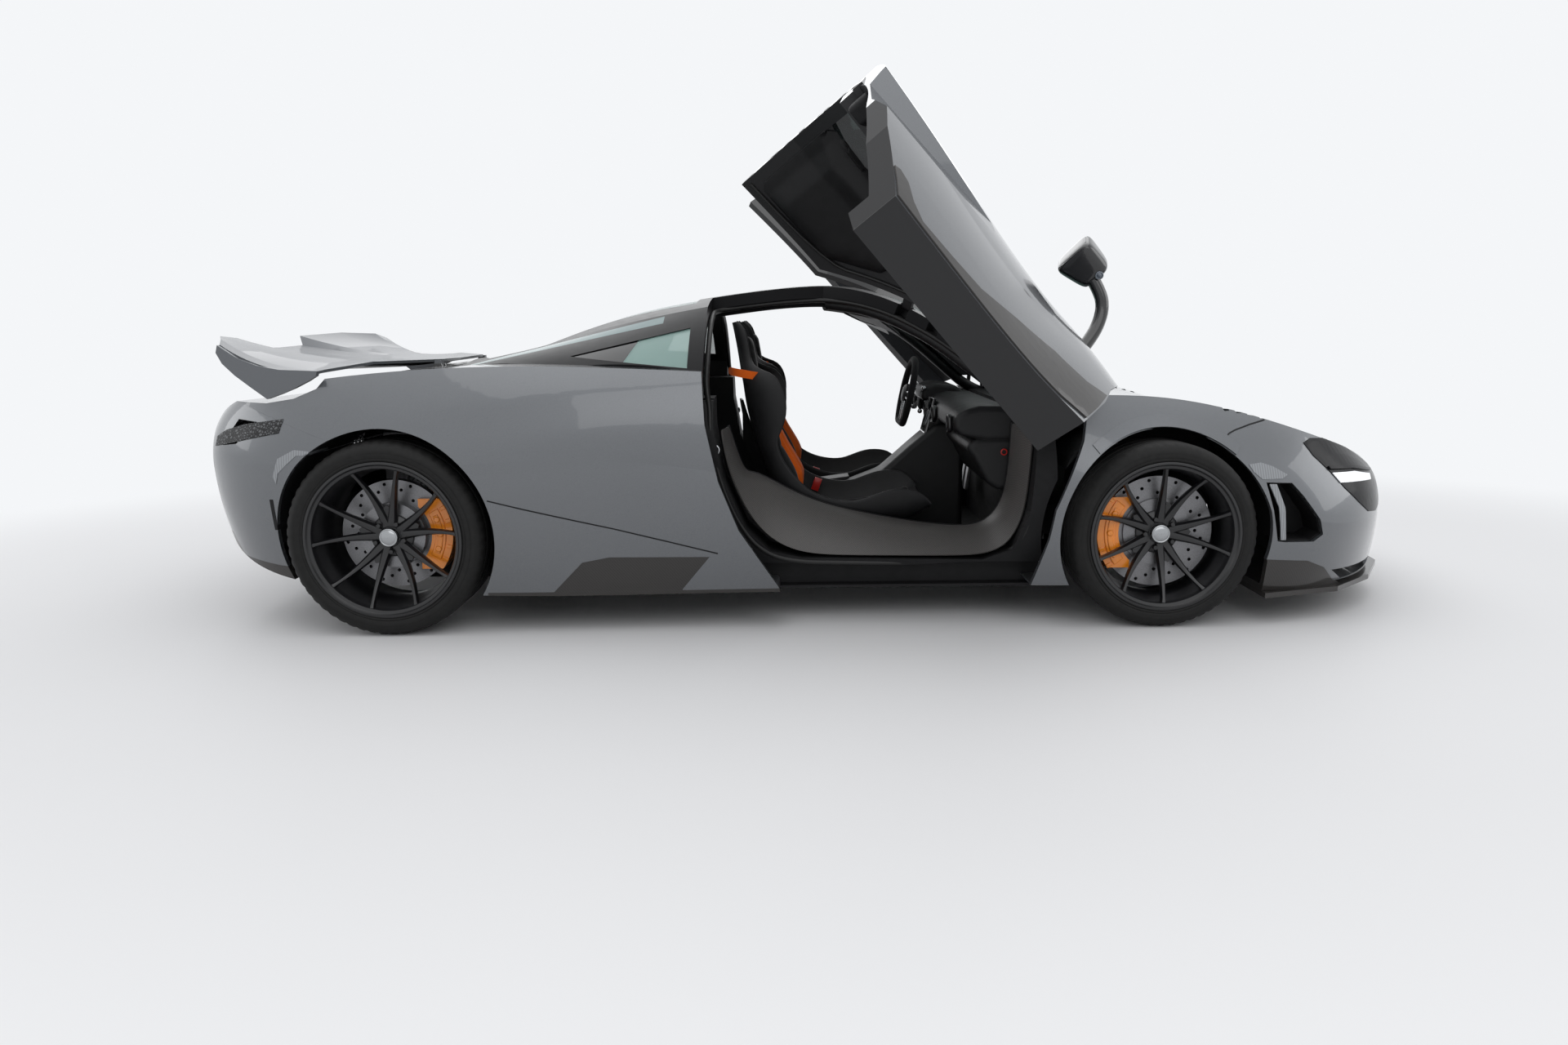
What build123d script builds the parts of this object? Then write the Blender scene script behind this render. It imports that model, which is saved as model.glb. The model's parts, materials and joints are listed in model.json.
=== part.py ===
from build123d import *
import math
import os

# Mid-engined two-seat coupe with dihedral doors. Millimetres, +X forward, +Y left, +Z up.
# Origin on the ground under the middle of the overall length. The car stands with both doors open.

os.makedirs("parts", exist_ok=True)

# ---- driving dimensions -------------------------------------------------------------------
FRONT_AXLE_X = 1200.0
REAR_AXLE_X = -1470.0
FRONT_TYRE_R = 322.0
REAR_TYRE_R = 340.0
FRONT_TYRE_W = 245.0
REAR_TYRE_W = 300.0
FRONT_RIM_R = 241.0          # bead seat
REAR_RIM_R = 254.0
FRONT_TRACK_HALF = 825.0     # wheel centre plane
KINGPIN_Y = 735.0            # steering axis of a front wheel
REAR_TRACK_HALF = 805.0
ARCH_GAP = 40.0              # arch edge beyond the tyre
STEER_GAP = 74.0             # front liner beyond the tyre, inboard of the arch edge
STEER_Y = 850.0              # outer end of that wider part
FRONT_DISC_R = 195.0
REAR_DISC_R = 190.0
DISC_IN = 10.0               # disc plane inboard of the wheel centre plane
SKIN = 22.0                  # outer panels
DOOR_T = 72.0                # whole door
ROOF_T = 40.0                # roof part of a door
FRAME_T = 45.0               # roof frame and pillars
GLASS_IN = 4.0               # glass below the panel surface
GLASS_T = 6.0
SHUT = 2.5                   # half of a shut gap round a moving panel
RUN = 10.0                   # clearance between a closed door and the tub
FLOOR_Z = 128.0
FLOOR_T = 40.0
JAMB_TOP = 800.0
COWL_X = 985.0              # foot of the windscreen, behind the bonnet
COWL_TOP = 734.0
COWL_HALF = 700.0
CABIN_HALF = 640.0
FLOOR_HALF = 735.0           # the door's lower lip reaches in under the sill to here
SPINE_HALF = 186.0           # half width of the roof spine between the doors
HINGE_LOW = (912.0, 736.0, 782.0)    # door hinge at the pillar's foot, left side
HINGE_HIGH = (240.0, 286.0, 1186.0)  # door hinge at the roof, left side
DOOR_OPEN = 77.0
DOOR_FRONT = 748.0           # foot of the door's front edge
DOOR_HINGES = (0.64, 0.80)   # places of the two door hinges along the hinge line
DOOR_PIN_R = 6.0
SEAT_Y = 375.0
WHEEL_Y = 350.0              # steering wheel, left-hand drive
WHEEL_X = 450.0
WHEEL_Z = 731.0
WING_PIVOT = (-1432.0, 908.0)
PIN_R = 7.0
PIN_FIT = 0.05
JACK_R = 12.0                # jacking sockets in the underfloor
JACK_X = (640.0, -900.0)
JACK_Y = 690.0

FRONT_HUB_Z = FRONT_TYRE_R
REAR_HUB_Z = REAR_TYRE_R
FRONT_ARCH_R = FRONT_TYRE_R + ARCH_GAP
STEER_R = FRONT_TYRE_R + STEER_GAP
REAR_ARCH_R = REAR_TYRE_R + ARCH_GAP
CABIN_FLOOR = FLOOR_Z + FLOOR_T

# body stations: x, z_bottom, y_bottom, y_wide, z_wide, y_shoulder, z_shoulder, z_centre
BODY = [
    (2240, 142, 140, 170, 330, 140, 418, 440),
    (2168, 130, 395, 430, 340, 380, 462, 480),
    (2030, 122, 640, 705, 350, 560, 548, 576),
    (1760, 118, 850, 908, 360, 735, 648, 650),
    (1480, 120, 908, 950, 430, 745, 735, 702),
    (1100, 128, 910, 955, 480, 760, 792, 762),
    (600, 132, 892, 936, 480, 842, 852, 838),
    (0, 132, 892, 944, 500, 880, 884, 878),
    (-600, 132, 912, 962, 600, 882, 908, 910),
    (-1200, 138, 918, 965, 600, 822, 917, 918),
    (-1600, 160, 900, 960, 600, 792, 892, 882),
    (-1950, 225, 822, 888, 600, 765, 832, 806),
    (-2112, 330, 690, 770, 580, 680, 752, 738),
]
# canopy stations: x, y_base, z_base, y_roof, z_roof, z_top
CANOPY = [
    (1010, 735, 740, 540, 778, 800),
    (600, 785, 805, 640, 925, 1003),
    (250, 812, 850, 520, 1118, 1180),
    (-100, 835, 866, 480, 1150, 1192),
    (-400, 848, 872, 480, 1112, 1156),
    (-870, 720, 905, 400, 1016, 1046),
    (-1360, 540, 870, 260, 900, 926),
]
CANOPY_FLOOR = 700.0

# ---- outlines -----------------------------------------------------------------------------
# door, side view (x, z)
DOOR_EDGE = [(-375, 940), (-361, 722), (-320, 530), (-255, 361), (-119, 149), (-108, 100),
             (DOOR_FRONT - 12, 100), (DOOR_FRONT, 150), (800, 318), (818, 420), (866, 535), (915, 650),
             (940, 760), (950, 940)]
# door roof part and strut, plan view of the left side (x, y); its inner edge follows the hinge line
DOOR_PLAN = [(-373, SPINE_HALF), (60, SPINE_HALF), (205, 300), (330, 392), (560, 542), (760, 672), (905, 766),
             (955, 800), (955, 1100), (-373, 1100)]
WINDOW = [(-318, 908), (-318, 1046), (-200, 1078), (60, 1082), (330, 1012), (560, 918), (640, 880), (200, 898)]
# opening left in the tub, side view
OPENING = [(-345, 1300), (-340, 700), (-312, 530), (-235, 345), (-150, 262), (-40, 236),
           (600, 222), (700, 262), (752, 400), (772, 600), (775, 700), (690, 790), (560, 900), (400, 1300)]
# inner edge of the sill cover, point for point with the lower part of OPENING
SILL_IN = [(-300, 700), (-262, 560), (-190, 440), (-110, 350), (-20, 306), (560, 292), (650, 322),
           (702, 430), (722, 600), (725, 700)]
SCREEN_REAR = [(890, 668), (560, 455), (330, 292), (250, 212), (195, 150)]
REAR_SCREEN = [(-430, -330), (-430, 330), (-1180, 215), (-1180, -215)]
QUARTER_WIN = [(-430, 905), (-430, 1040), (-860, 945)]
CANOPY_PLAN = [(COWL_X, 700), (600, 770), (250, 800), (-100, 822), (-384, 836), (-870, 712), (-1355, 530),
               (-1355, 0), (COWL_X, 0)]
BUMPER_EDGE = [(1386, 640), (1497, 677), (1640, 694), (1700, 900), (2400, 900), (2400, 132), (1400, 132)]
BONNET_PLAN = [(COWL_X, -560), (1250, -590), (1640, -450), (1690, 0), (1640, 450), (1250, 590), (COWL_X, 560)]
LAMP_EYE = [(1714, 622), (1749, 634), (1812, 630), (1885, 611), (1988, 560), (2074, 514), (2136, 470),
            (2141, 412), (2085, 375), (2035, 362), (1973, 372), (1920, 410), (1853, 466), (1795, 526), (1739, 580)]
SIDE_VENT = [(1540, 502), (1635, 497), (1674, 453), (1734, 372), (1750, 318), (1716, 295), (1607, 298), (1582, 302)]
VANE = [(1550, 496), (1574, 495), (1602, 420), (1612, 306), (1594, 306), (1580, 420)]
FENCE = [(1500, 60), (1500, 238), (1561, 237), (1705, 226), (1779, 195), (1835, 140), (1880, 118), (2400, 118),
         (2400, 60)]
SLOT = [(1817, 180), (2120, 176), (2120, 146), (1879, 136)]
REAR_BUMPER_EDGE = [(-1600, 600), (-1628, 676), (-1835, 753), (-2010, 812), (-2300, 812), (-2300, 345), (-2075, 342),
                    (-2030, 262), (-1865, 240), (-1700, 232)]
DIFFUSER_EDGE = [(-2300, 345), (-2075, 342), (-2030, 262), (-1865, 240), (-1700, 232), (-1700, 100), (-2300, 100)]
WING_BAY = [(-1672, 1000), (-1683, 890), (-1706, 850), (-1780, 818), (-1880, 803), (-2000, 806), (-2300, 812),
            (-2300, 1000)]
# pocket behind the fender for the door's front corner as it turns, and its floor
HINGE_POCKET = [(936, 705), (984, 705), (988, 790), (972, 842), (936, 842)]
DECK_PLAN = [(-1245, -500), (-1245, 500), (-1668, 600), (-1668, -600)]
SKIRT_FIN = [(-905, 100), (-901, 146), (-796, 253), (-702, 271), (-359, 267), (-456, 150), (-460, 100)]


def section(row, inset):
    x, zb, yb, yw, zw, ys, zs, zt = row
    zb += inset
    yb, yw, ys = yb - inset, yw - inset, ys - inset
    zs, zt = zs - inset, zt - inset
    low = ((yb + yw) / 2 + 10, (zb + zw) / 2 - 14)
    high = ((yw + ys) / 2 + 24, (zw + zs) / 2 + 16)
    with BuildSketch(Plane(origin=(x, 0, 0), x_dir=(0, 1, 0), z_dir=(1, 0, 0))) as s:
        with BuildLine():
            Line((-yb, zb), (yb, zb))
            ThreePointArc((yb, zb), low, (yw, zw))
            ThreePointArc((yw, zw), high, (ys, zs))
            ThreePointArc((ys, zs), (0, zt), (-ys, zs))
            ThreePointArc((-ys, zs), (-high[0], high[1]), (-yw, zw))
            ThreePointArc((-yw, zw), (-low[0], low[1]), (-yb, zb))
        make_face()
    return s.sketch


def body_form(inset):
    rows = [list(r) for r in BODY]
    rows[0][0] -= inset
    rows[-1][0] += inset
    return loft([section(r, inset) for r in rows])


def canopy_section(row, inset):
    x, yb, zb, yr, zr, zt = row
    yb, yr, zr, zt = yb - inset, yr - inset * 0.5, zr - inset, zt - inset
    mid = ((yb + yr) / 2 + 16, (zb + zr) / 2 + 14)
    with BuildSketch(Plane(origin=(x, 0, 0), x_dir=(0, 1, 0), z_dir=(1, 0, 0))) as s:
        with BuildLine():
            Line((-yb, CANOPY_FLOOR), (yb, CANOPY_FLOOR))
            Line((yb, CANOPY_FLOOR), (yb, zb))
            ThreePointArc((yb, zb), mid, (yr, zr))
            ThreePointArc((yr, zr), (0, zt), (-yr, zr))
            ThreePointArc((-yr, zr), (-mid[0], mid[1]), (-yb, zb))
            Line((-yb, zb), (-yb, CANOPY_FLOOR))
        make_face()
    return s.sketch


def canopy_form(inset):
    return loft([canopy_section(r, inset) for r in CANOPY])


def side(points, y0, y1):
    """Prism of an (x, z) outline between two y planes."""
    face = make_face(Polyline(*[(x, y0, z) for x, z in points], close=True))
    return extrude(face, amount=abs(y1 - y0), dir=(0, 1 if y1 > y0 else -1, 0))


def front(points, x0, x1):
    """Prism of a (y, z) outline between two x planes."""
    face = make_face(Polyline(*[(x0, y, z) for y, z in points], close=True))
    return extrude(face, amount=x1 - x0, dir=(1, 0, 0))


def wide(points, d):
    """Prism of a side outline across the whole width, its edge moved out by d."""
    face = make_face(Polyline(*points, close=True))
    if d:
        face = offset(face, d, kind=Kind.INTERSECTION)
    return Plane(origin=(0, 1500, 0), x_dir=(1, 0, 0), z_dir=(0, -1, 0)) * extrude(face, amount=3000)


def plan_one(points, z0, z1, d=0.0):
    """Prism of an (x, y) outline between two heights, its edge moved out by d."""
    face = make_face(Polyline(*[(x, y, 0) for x, y in points], close=True))
    if d:
        face = offset(face, d, kind=Kind.INTERSECTION)
    return Pos(0, 0, z0) * extrude(face, amount=z1 - z0, dir=(0, 0, 1))


def plan_pair(points, z0, z1, d=0.0):
    prism = plan_one(points, z0, z1, d)
    return prism + flip(prism)


def skew(points, y_at):
    """Face of a side outline laid on the upright plane y = y_at(x)."""
    return make_face(Polyline(*[(x, y_at(x), z) for x, z in points], close=True))


def shrink(points, k):
    cx = sum(p[0] for p in points) / len(points)
    cz = sum(p[1] for p in points) / len(points)
    return [(cx + (x - cx) * k, cz + (z - cz) * k) for x, z in points]


def box(x0, x1, y0, y1, z0, z1):
    return Pos((x0 + x1) / 2, (y0 + y1) / 2, (z0 + z1) / 2) * Box(abs(x1 - x0), abs(y1 - y0), abs(z1 - z0))


def across(x, z, r, y0, y1):
    """Cylinder along Y."""
    return Pos(x, (y0 + y1) / 2, z) * Rot(90, 0, 0) * Cylinder(r, abs(y1 - y0))


def rod(a, b, r):
    a, b = Vector(*a), Vector(*b)
    return Plane(origin=(a + b) * 0.5, z_dir=b - a) * Cylinder(r, (b - a).length)


def flip(s):
    return mirror(s, about=Plane.XZ)


def pair(s):
    return Compound(children=list(s.solids()) + list(flip(s).solids()))


def save(shape, name):
    shape.label = name
    export_step(shape, os.path.join("parts", name + ".step"))


low, high = Vector(*HINGE_LOW), Vector(*HINGE_HIGH)
hinge = Axis(origin=low, direction=high - low)


def opened(s):
    return s.rotate(hinge, -DOOR_OPEN)


def hinge_plane(share):
    """Z along the hinge line, X outwards from it, Y down."""
    along = (high - low).normalized()
    out = Vector(0, 1, 0) - along * along.Y
    return Plane(origin=low + (high - low) * share, x_dir=out, z_dir=along)


# ---- the two master forms -----------------------------------------------------------------
wing_bay = wide(WING_BAY, 0)
outer = body_form(0) - wing_bay
inner = body_form(SKIN) - wide(WING_BAY, SKIN)
arches = across(FRONT_AXLE_X, FRONT_HUB_Z, FRONT_ARCH_R, -1200, 1200) + \
    across(REAR_AXLE_X, REAR_HUB_Z, REAR_ARCH_R, -1200, 1200) + \
    across(FRONT_AXLE_X, FRONT_HUB_Z, STEER_R, -STEER_Y, STEER_Y)
skin = outer - inner - arches
roof = canopy_form(0)
glass_skin = canopy_form(GLASS_IN) - canopy_form(GLASS_IN + GLASS_T)
door_cut = wide(DOOR_EDGE, SHUT)
door_area = wide(DOOR_EDGE, -SHUT)
canopy_area = plan_pair(CANOPY_PLAN, 600, 1300)

# ---- front end ----------------------------------------------------------------------------
bonnet_cut = plan_one(BONNET_PLAN, 560, 1000, SHUT)
bonnet = skin & plan_one(BONNET_PLAN, 560, 1000, -SHUT)
bumper_area = wide(BUMPER_EDGE, 0)
fence_area = wide(FENCE, 0)
body_side = [lambda x: 760 - 0.75 * (x - 1714) + 90, lambda x: 760 - 0.75 * (x - 1714) - 95]
eye = loft([skew(LAMP_EYE, body_side[0]), skew(shrink(LAMP_EYE, 0.72), body_side[1])], ruled=True)
eye_cup = loft([skew(LAMP_EYE, body_side[0]), skew(shrink(LAMP_EYE, 0.74), lambda x: body_side[1](x) - 12)],
               ruled=True) - eye
vent = side(SIDE_VENT, 790, 1000)
slot = side(SLOT, 540, 1000)
bumper = (skin & bumper_area) - bonnet_cut - fence_area
bumper = bumper - box(1940, 2330, -400, 400, 168, 300)
for cut in (vent, eye, slot):
    bumper = bumper - cut - flip(cut)
housing = eye_cup & inner
bar = loft([skew([(1800, 516), (2030, 486), (2024, 462), (1836, 470)], lambda x: body_side[1](x) + 20),
            skew([(1800, 524), (2030, 492), (2024, 456), (1836, 462)], lambda x: body_side[1](x) - 2)], ruled=True)
headlamps = pair(housing + (bar & inner))
duct = (side(SIDE_VENT, 760, 1000) - side(shrink(SIDE_VENT, 0.94), 772, 1000)) & inner
vane = side(VANE, 775, 925) & body_form(8)
grille = (inner & box(1990, 2330, -412, 412, 158, 312)) - Pos(-12, 0, 0) * inner
for k in range(6):
    grille = grille - box(2100, 2330, -380, 380, 180 + 19 * k, 190 + 19 * k)
duct_back = side(SIDE_VENT, 752, 760)
liner_bore = across(FRONT_AXLE_X, FRONT_HUB_Z, STEER_R + 12, -1200, 1200)
front_ducts = Compound(children=list(pair((duct + vane + duct_back) - liner_bore).solids()) + [grille])
splitter_plan = [(2246, 0), (2240, 140), (2200, 420), (2050, 660), (1850, 840), (1555, 932), (1555, 0)]
splitter = plan_pair(splitter_plan, 100, 118) + (skin & fence_area & wide(BUMPER_EDGE, 40))
splitter = splitter - arches - box(1000, 1555, -1200, 1200, 0, 300)
cowl_cut = box(700, COWL_X, -COWL_HALF, COWL_HALF, 500, 1300)
floor_cut = box(-560, 842, -FLOOR_HALF, FLOOR_HALF, 60, 240)
fenders = (skin & box(740, 1720, -1200, 1200, 150, 1000)) - door_cut - bumper_area - bonnet_cut - cowl_cut \
    - fence_area - plan_pair(HINGE_POCKET, 756, 900) - floor_cut
for k in range(4):        # louvres over each front wheel
    x = 1440 + 42 * k
    louvre = Pos(x, 690, 730) * Rot(0, 0, -14) * Box(20, 130, 160)
    fenders = fenders - louvre - flip(louvre)

# ---- rear end -----------------------------------------------------------------------------
rear_bumper_area = wide(REAR_BUMPER_EDGE, 0)
diffuser_area = wide(DIFFUSER_EDGE, 0)
mesh_window = front([(-640, 640), (640, 640), (690, 600), (600, 470), (-600, 470), (-690, 600)], -2200, -2040)
mesh_side = side([(-1980, 750), (-1900, 742), (-1980, 668), (-2044, 660)], 700, 1000)
rear_bumper = (skin & rear_bumper_area) - diffuser_area - mesh_window - mesh_side - flip(mesh_side)
deck_cut = plan_one(DECK_PLAN, 600, 1000)
fin_area = wide(SKIRT_FIN, 0)
skirt_area = box(-1130, -108, -1200, 1200, 0, 146)
quarters = (skin & box(-2200, -105, -1200, 1200, 100, 1000)) - door_cut - rear_bumper_area - diffuser_area \
    - deck_cut - canopy_area - fin_area - skirt_area - floor_cut
cover = (skin & deck_cut) - canopy_area
for k in range(5):        # cooling slots
    cut = Pos(-1330 - 62 * k, 300, 900) * Rot(0, 0, 12) * Box(26, 250, 120)
    cover = cover - cut - flip(cut)
skirts = ((skin & fin_area) + (skin & skirt_area)) - door_cut
skirts = skirts & (box(-1300, -100, 760, 1200, 0, 400) + box(-1300, -100, -1200, -760, 0, 400))
diffuser = (skin & diffuser_area) + box(-2060, -1700, -600, 600, 222, 236)
for k in range(7):
    y = -480 + 160 * k
    diffuser = diffuser + side([(-1720, 224), (-2010, 150), (-2090, 160), (-2090, 312), (-2074, 312), (-2040, 236)],
                               y - 5, y + 5)
HEX = 24.0
tail_mesh = front([(-650, 650), (650, 650), (700, 600), (610, 462), (-610, 462), (-700, 600)], -2090, -2078)
holes = []
for j in range(4):
    for i in range(-13 + j % 2, 14):
        y, z = i * HEX * 1.75 + (j % 2) * HEX * 0.875, 496 + j * HEX * 1.52
        if 255 < abs(y) < 560:
            cell = extrude(RegularPolygon(HEX * 0.82, 6), 12, both=True)
            holes.append(Pos(-2084, y, z) * Rot(0, 90, 0) * Rot(0, 0, 90) * cell)
tail_mesh = tail_mesh - holes - box(-2100, -2050, -232, 232, 400, 700)
tail_lamps = front([(-690, 600), (-640, 640), (640, 640), (690, 600), (672, 598), (632, 630), (-632, 630),
                    (-672, 598)], -2108, -2090)
exhausts = box(-2090, -2078, -232, 232, 470, 628)
PIPE_Y = (-168, -56, 56, 168)
for y in PIPE_Y:
    exhausts = exhausts + Pos(-2080, y, 548) * Rot(0, 90, 0) * Cylinder(50, 150)
for y in PIPE_Y:
    exhausts = exhausts - Pos(-2080, y, 548) * Rot(0, 90, 0) * Cylinder(45, 170)

# ---- canopy -------------------------------------------------------------------------------
screen_area = plan_one([(COWL_X, 668)] + SCREEN_REAR + [(x, -y) for x, y in reversed(SCREEN_REAR)]
                       + [(COWL_X, -668)], COWL_TOP, 1300)
rear_screen_area = plan_one(REAR_SCREEN, 600, 1300)
quarter_area = side(QUARTER_WIN, 420, 1200)
canopy_frame = ((roof - canopy_form(FRAME_T)) & canopy_area) - plan_pair(DOOR_PLAN, 600, 1300, SHUT) \
    - screen_area - rear_screen_area - quarter_area - flip(quarter_area)
canopy_frame = canopy_frame - box(-1400, 842, -1200, 1200, 600, JAMB_TOP)
canopy_frame = canopy_frame - box(842, 1010, -1200, 1200, 600, COWL_TOP)
for share in DOOR_HINGES:
    at = hinge_plane(share)
    pocket = at * (Pos(27, 10, 0) * Box(86, 100, 50))
    pin = at * Cylinder(DOOR_PIN_R, 62)
    canopy_frame = (canopy_frame - pocket - flip(pocket)) + pin + flip(pin)
windscreen = glass_skin & screen_area
rear_glass = Compound(children=list((glass_skin & rear_screen_area & box(-1200, 0, -800, 800, 742, 1300)).solids())
                      + list(pair(glass_skin & quarter_area).solids()))

# ---- tub ----------------------------------------------------------------------------------
tub = (body_form(DOOR_T + RUN) & box(-560, 842, -1200, 1200, 60, JAMB_TOP)) \
    + box(-560, 842, -FLOOR_HALF, FLOOR_HALF, FLOOR_Z, 240)
tub = tub - box(-520, 774, -CABIN_HALF, CABIN_HALF, CABIN_FLOOR, 1300) - wide(OPENING, 0)
tub = tub + box(780, COWL_X, -640, 640, 668, COWL_TOP) + box(942, COWL_X, -770, 770, COWL_TOP - 18, COWL_TOP)
tub = tub - across(FRONT_AXLE_X, FRONT_HUB_Z, STEER_R + 10, -1200, 1200)
tub = tub - pair(box(-380, -330, 780, 1000, JAMB_TOP - 6, JAMB_TOP + 1))      # under the closed roof part's rear corner
sill_out = OPENING[1:11]
sill_face = make_face(Polyline(*(SILL_IN + sill_out[::-1]), close=True))
sill_edge = [(x, z + 5) for x, z in sill_out]
sill_thin = make_face(Polyline(*(sill_edge + sill_out[::-1]), close=True))
on_side = Plane(origin=(0, 0, 0), x_dir=(1, 0, 0), z_dir=(0, -1, 0))
sill = loft([Pos(0, 690, 0) * (on_side * sill_face), Pos(0, 806, 0) * (on_side * sill_thin)], ruled=True)
sill = sill - box(745, 800, 798, 830, 640, 720)      # clear of the closed door
sill_covers = pair(sill + Pos(0, 645, 0) * (on_side * extrude(sill_face, amount=-45)))
luggage = (box(1010, 1580, -290, 290, 210, 900) & (Pos(0, 0, -0.8) * inner)) - box(1022, 1568, -278, 278, 222, 1000)
luggage = luggage + box(842, 1010, -290, 290, 210, 330)
underfloor = plan_one([(1555, -300), (1555, 300), (800, 300), (800, 780), (-1060, 780),
                       (-1060, 540), (-1700, 540), (-1700, -540), (-1060, -540), (-1060, -780), (800, -780),
                       (800, -300)], 118, FLOOR_Z)
underfloor = underfloor - [Pos(x, y, 123) * Cylinder(JACK_R, 20) for x in JACK_X for y in (-JACK_Y, JACK_Y)]
engine = box(-1380, -600, -250, 250, 170, 720) + box(-600, -560, -600, 600, 170, 780)

# ---- doors: shaped closed on the left, then opened ------------------------------------------
door_low = ((outer - body_form(DOOR_T)) & door_area) & box(-400, 1000, 745, 1200, 146, 1000)
door_low = door_low - arches
CHANNEL_REAR = [(1100, 745), (948, 735), (886, 700), (896, 560), (955, 430), (1100, 430)]
CHANNEL_FRONT = [(1100, 640), (990, 640), (960, 620), (962, 580), (990, 500), (1100, 500)]
channel = loft([Pos(-420, 0, 0) * make_face(Polyline(*[(0, y, z) for y, z in CHANNEL_REAR], close=True)),
                Pos(700, 0, 0) * make_face(Polyline(*[(0, y, z) for y, z in CHANNEL_FRONT], close=True))],
               ruled=True)
BLADE = [(-400, 60), (-400, 312), (-205, 310), (120, 284), (760, 236), (800, 236), (800, 60)]
blade_area = side(BLADE, 700, 1200)
door_blade = door_low & blade_area
door_low = door_low - channel - blade_area
top_zone = side([(-372, 800), (400, 792), (900, 750), (960, 750), (960, 1300), (-372, 1300)], 0, 1200)
door_top = ((roof - canopy_form(ROOF_T)) & plan_one(DOOR_PLAN, 600, 1300, -SHUT)) & top_zone
door_top = door_top - side(WINDOW, 505, 1200) - door_low
for share in DOOR_HINGES:
    leaf = Rot(0, 0, 25) * Pos(30, 6, 0) * Box(58, 16, 40) + Cylinder(11, 40)
    door_top = door_top + hinge_plane(share) * (leaf - Cylinder(DOOR_PIN_R + PIN_FIT, 60))
door_glass = glass_skin & side(WINDOW, 505, 1200)
MIRROR = (600, 1052, 1012)
mirror_body = Pos(*MIRROR) * Rot(0, 0, 8) * fillet(Box(112, 186, 112).edges(), 38)
mirror_body = mirror_body + rod((618, 985, 985), (688, 838, 846), 14)
mirror_body = mirror_body - door_low - door_top

# ---- wheels: built about the axle facing +Y -------------------------------------------------
SPOKE_PAIRS = 5
SPOKE_SPREAD = 18.0
ROOT_SPREAD = 9.5
DISH = 62.0                  # hub face inboard of the spoke tips


def ring(outer_r, inner_r, y0, y1):
    return across(0, 0, outer_r, y0, y1) - across(0, 0, inner_r, y0 - 5, y1 + 5)


def spoke(root_r, tip_r, y_root, y_tip):
    """One bar of the wheel along +Z, wider and deeper at the hub."""
    a = make_face(Polyline((-16, y_root - 34, 0), (16, y_root - 34, 0), (11, y_root, 0), (-11, y_root, 0),
                           close=True))
    b = make_face(Polyline((-9, y_tip - 24, 0), (9, y_tip - 24, 0), (5, y_tip, 0), (-5, y_tip, 0), close=True))
    return loft([Pos(0, 0, root_r) * a, Pos(0, 0, tip_r) * b], ruled=True)


def wheel(x, y, z, tyre_r, tyre_w, rim_r, phase, disc_r):
    half = tyre_w / 2
    with BuildSketch(Plane.XY) as t:       # (radius, along the axle)
        with BuildLine():
            Polyline((rim_r, -half + 16), (rim_r + 16, -half + 6), (rim_r + 30, -half), (tyre_r - 34, -half + 1),
                     (tyre_r - 14, -half + 12), (tyre_r - 4, -half + 26), (tyre_r, -half + 46), (tyre_r, half - 46),
                     (tyre_r - 4, half - 26), (tyre_r - 14, half - 12), (tyre_r - 34, half - 1), (rim_r + 30, half),
                     (rim_r + 16, half - 6), (rim_r, half - 16), (rim_r, -half + 16))
        make_face()
    tyre = revolve(t.sketch, Axis.Y)
    lip = rim_r + 16
    with BuildSketch(Plane.XY) as b:
        with BuildLine():
            Polyline((rim_r - 9, -half + 8), (lip - 7, -half - 1), (lip, -half - 1), (lip, -half + 6),
                     (rim_r, -half + 16), (rim_r, half - 16), (lip, half - 6), (lip, half + 1), (lip - 8, half + 1),
                     (rim_r - 6, half - 20), (rim_r - 8, 20), (rim_r - 24, 8), (rim_r - 24, -30),
                     (rim_r - 9, -half + 40), (rim_r - 9, -half + 8))
        make_face()
    rim = revolve(b.sketch, Axis.Y)
    y_tip = half - 8
    y_root = y_tip - DISH
    rim = rim + across(0, 0, 76, y_root - 36, y_root) + across(0, 0, 34, y_root, y_root + 12)
    for k in range(SPOKE_PAIRS):
        centre = phase + k * 360 / SPOKE_PAIRS
        for lean in (-1, 1):
            tip_a, root_a = math.radians(centre + lean * SPOKE_SPREAD), math.radians(centre + lean * ROOT_SPREAD)
            p = Vector(58 * math.sin(root_a), 0, 58 * math.cos(root_a))
            q = Vector((rim_r - 4) * math.sin(tip_a), 0, (rim_r - 4) * math.cos(tip_a))
            d = q - p
            turn = math.degrees(math.atan2(d.X, d.Z))
            rim = rim + Pos(p.X, 0, p.Z) * Rot(0, turn, 0) * spoke(0, d.length, y_root, y_tip)
    pockets = [Rot(0, phase + 36 + k * 72, 0) * Pos(0, 0, 52) * Rot(90, 0, 0) * Cylinder(9, 60)
               for k in range(SPOKE_PAIRS)]
    rim = rim - [Pos(0, y_root, 0) * q for q in pockets]
    rim = rim + [Pos(0, y_root - 14, 0) * q for q in
                 [Rot(0, phase + 36 + k * 72, 0) * Pos(0, 0, 52) * Rot(90, 0, 0) * Cylinder(9, 24)
                  for k in range(SPOKE_PAIRS)]]
    disc = ring(disc_r, disc_r * 0.56, -DISC_IN - 17, -DISC_IN + 17)
    drill = []
    for k in range(12):
        for j, r in enumerate((0.70, 0.82, 0.93)):
            a = math.radians(30 * k + 10 * j)
            drill.append(across(disc_r * r * math.sin(a), disc_r * r * math.cos(a), 6, -40, 20))
    disc = disc - drill
    disc = disc + ring(disc_r * 0.6, 60, -DISC_IN - 14, y_root - 36)
    return [Pos(x, y, z) * s for s in (tyre, rim, disc)]


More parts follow.
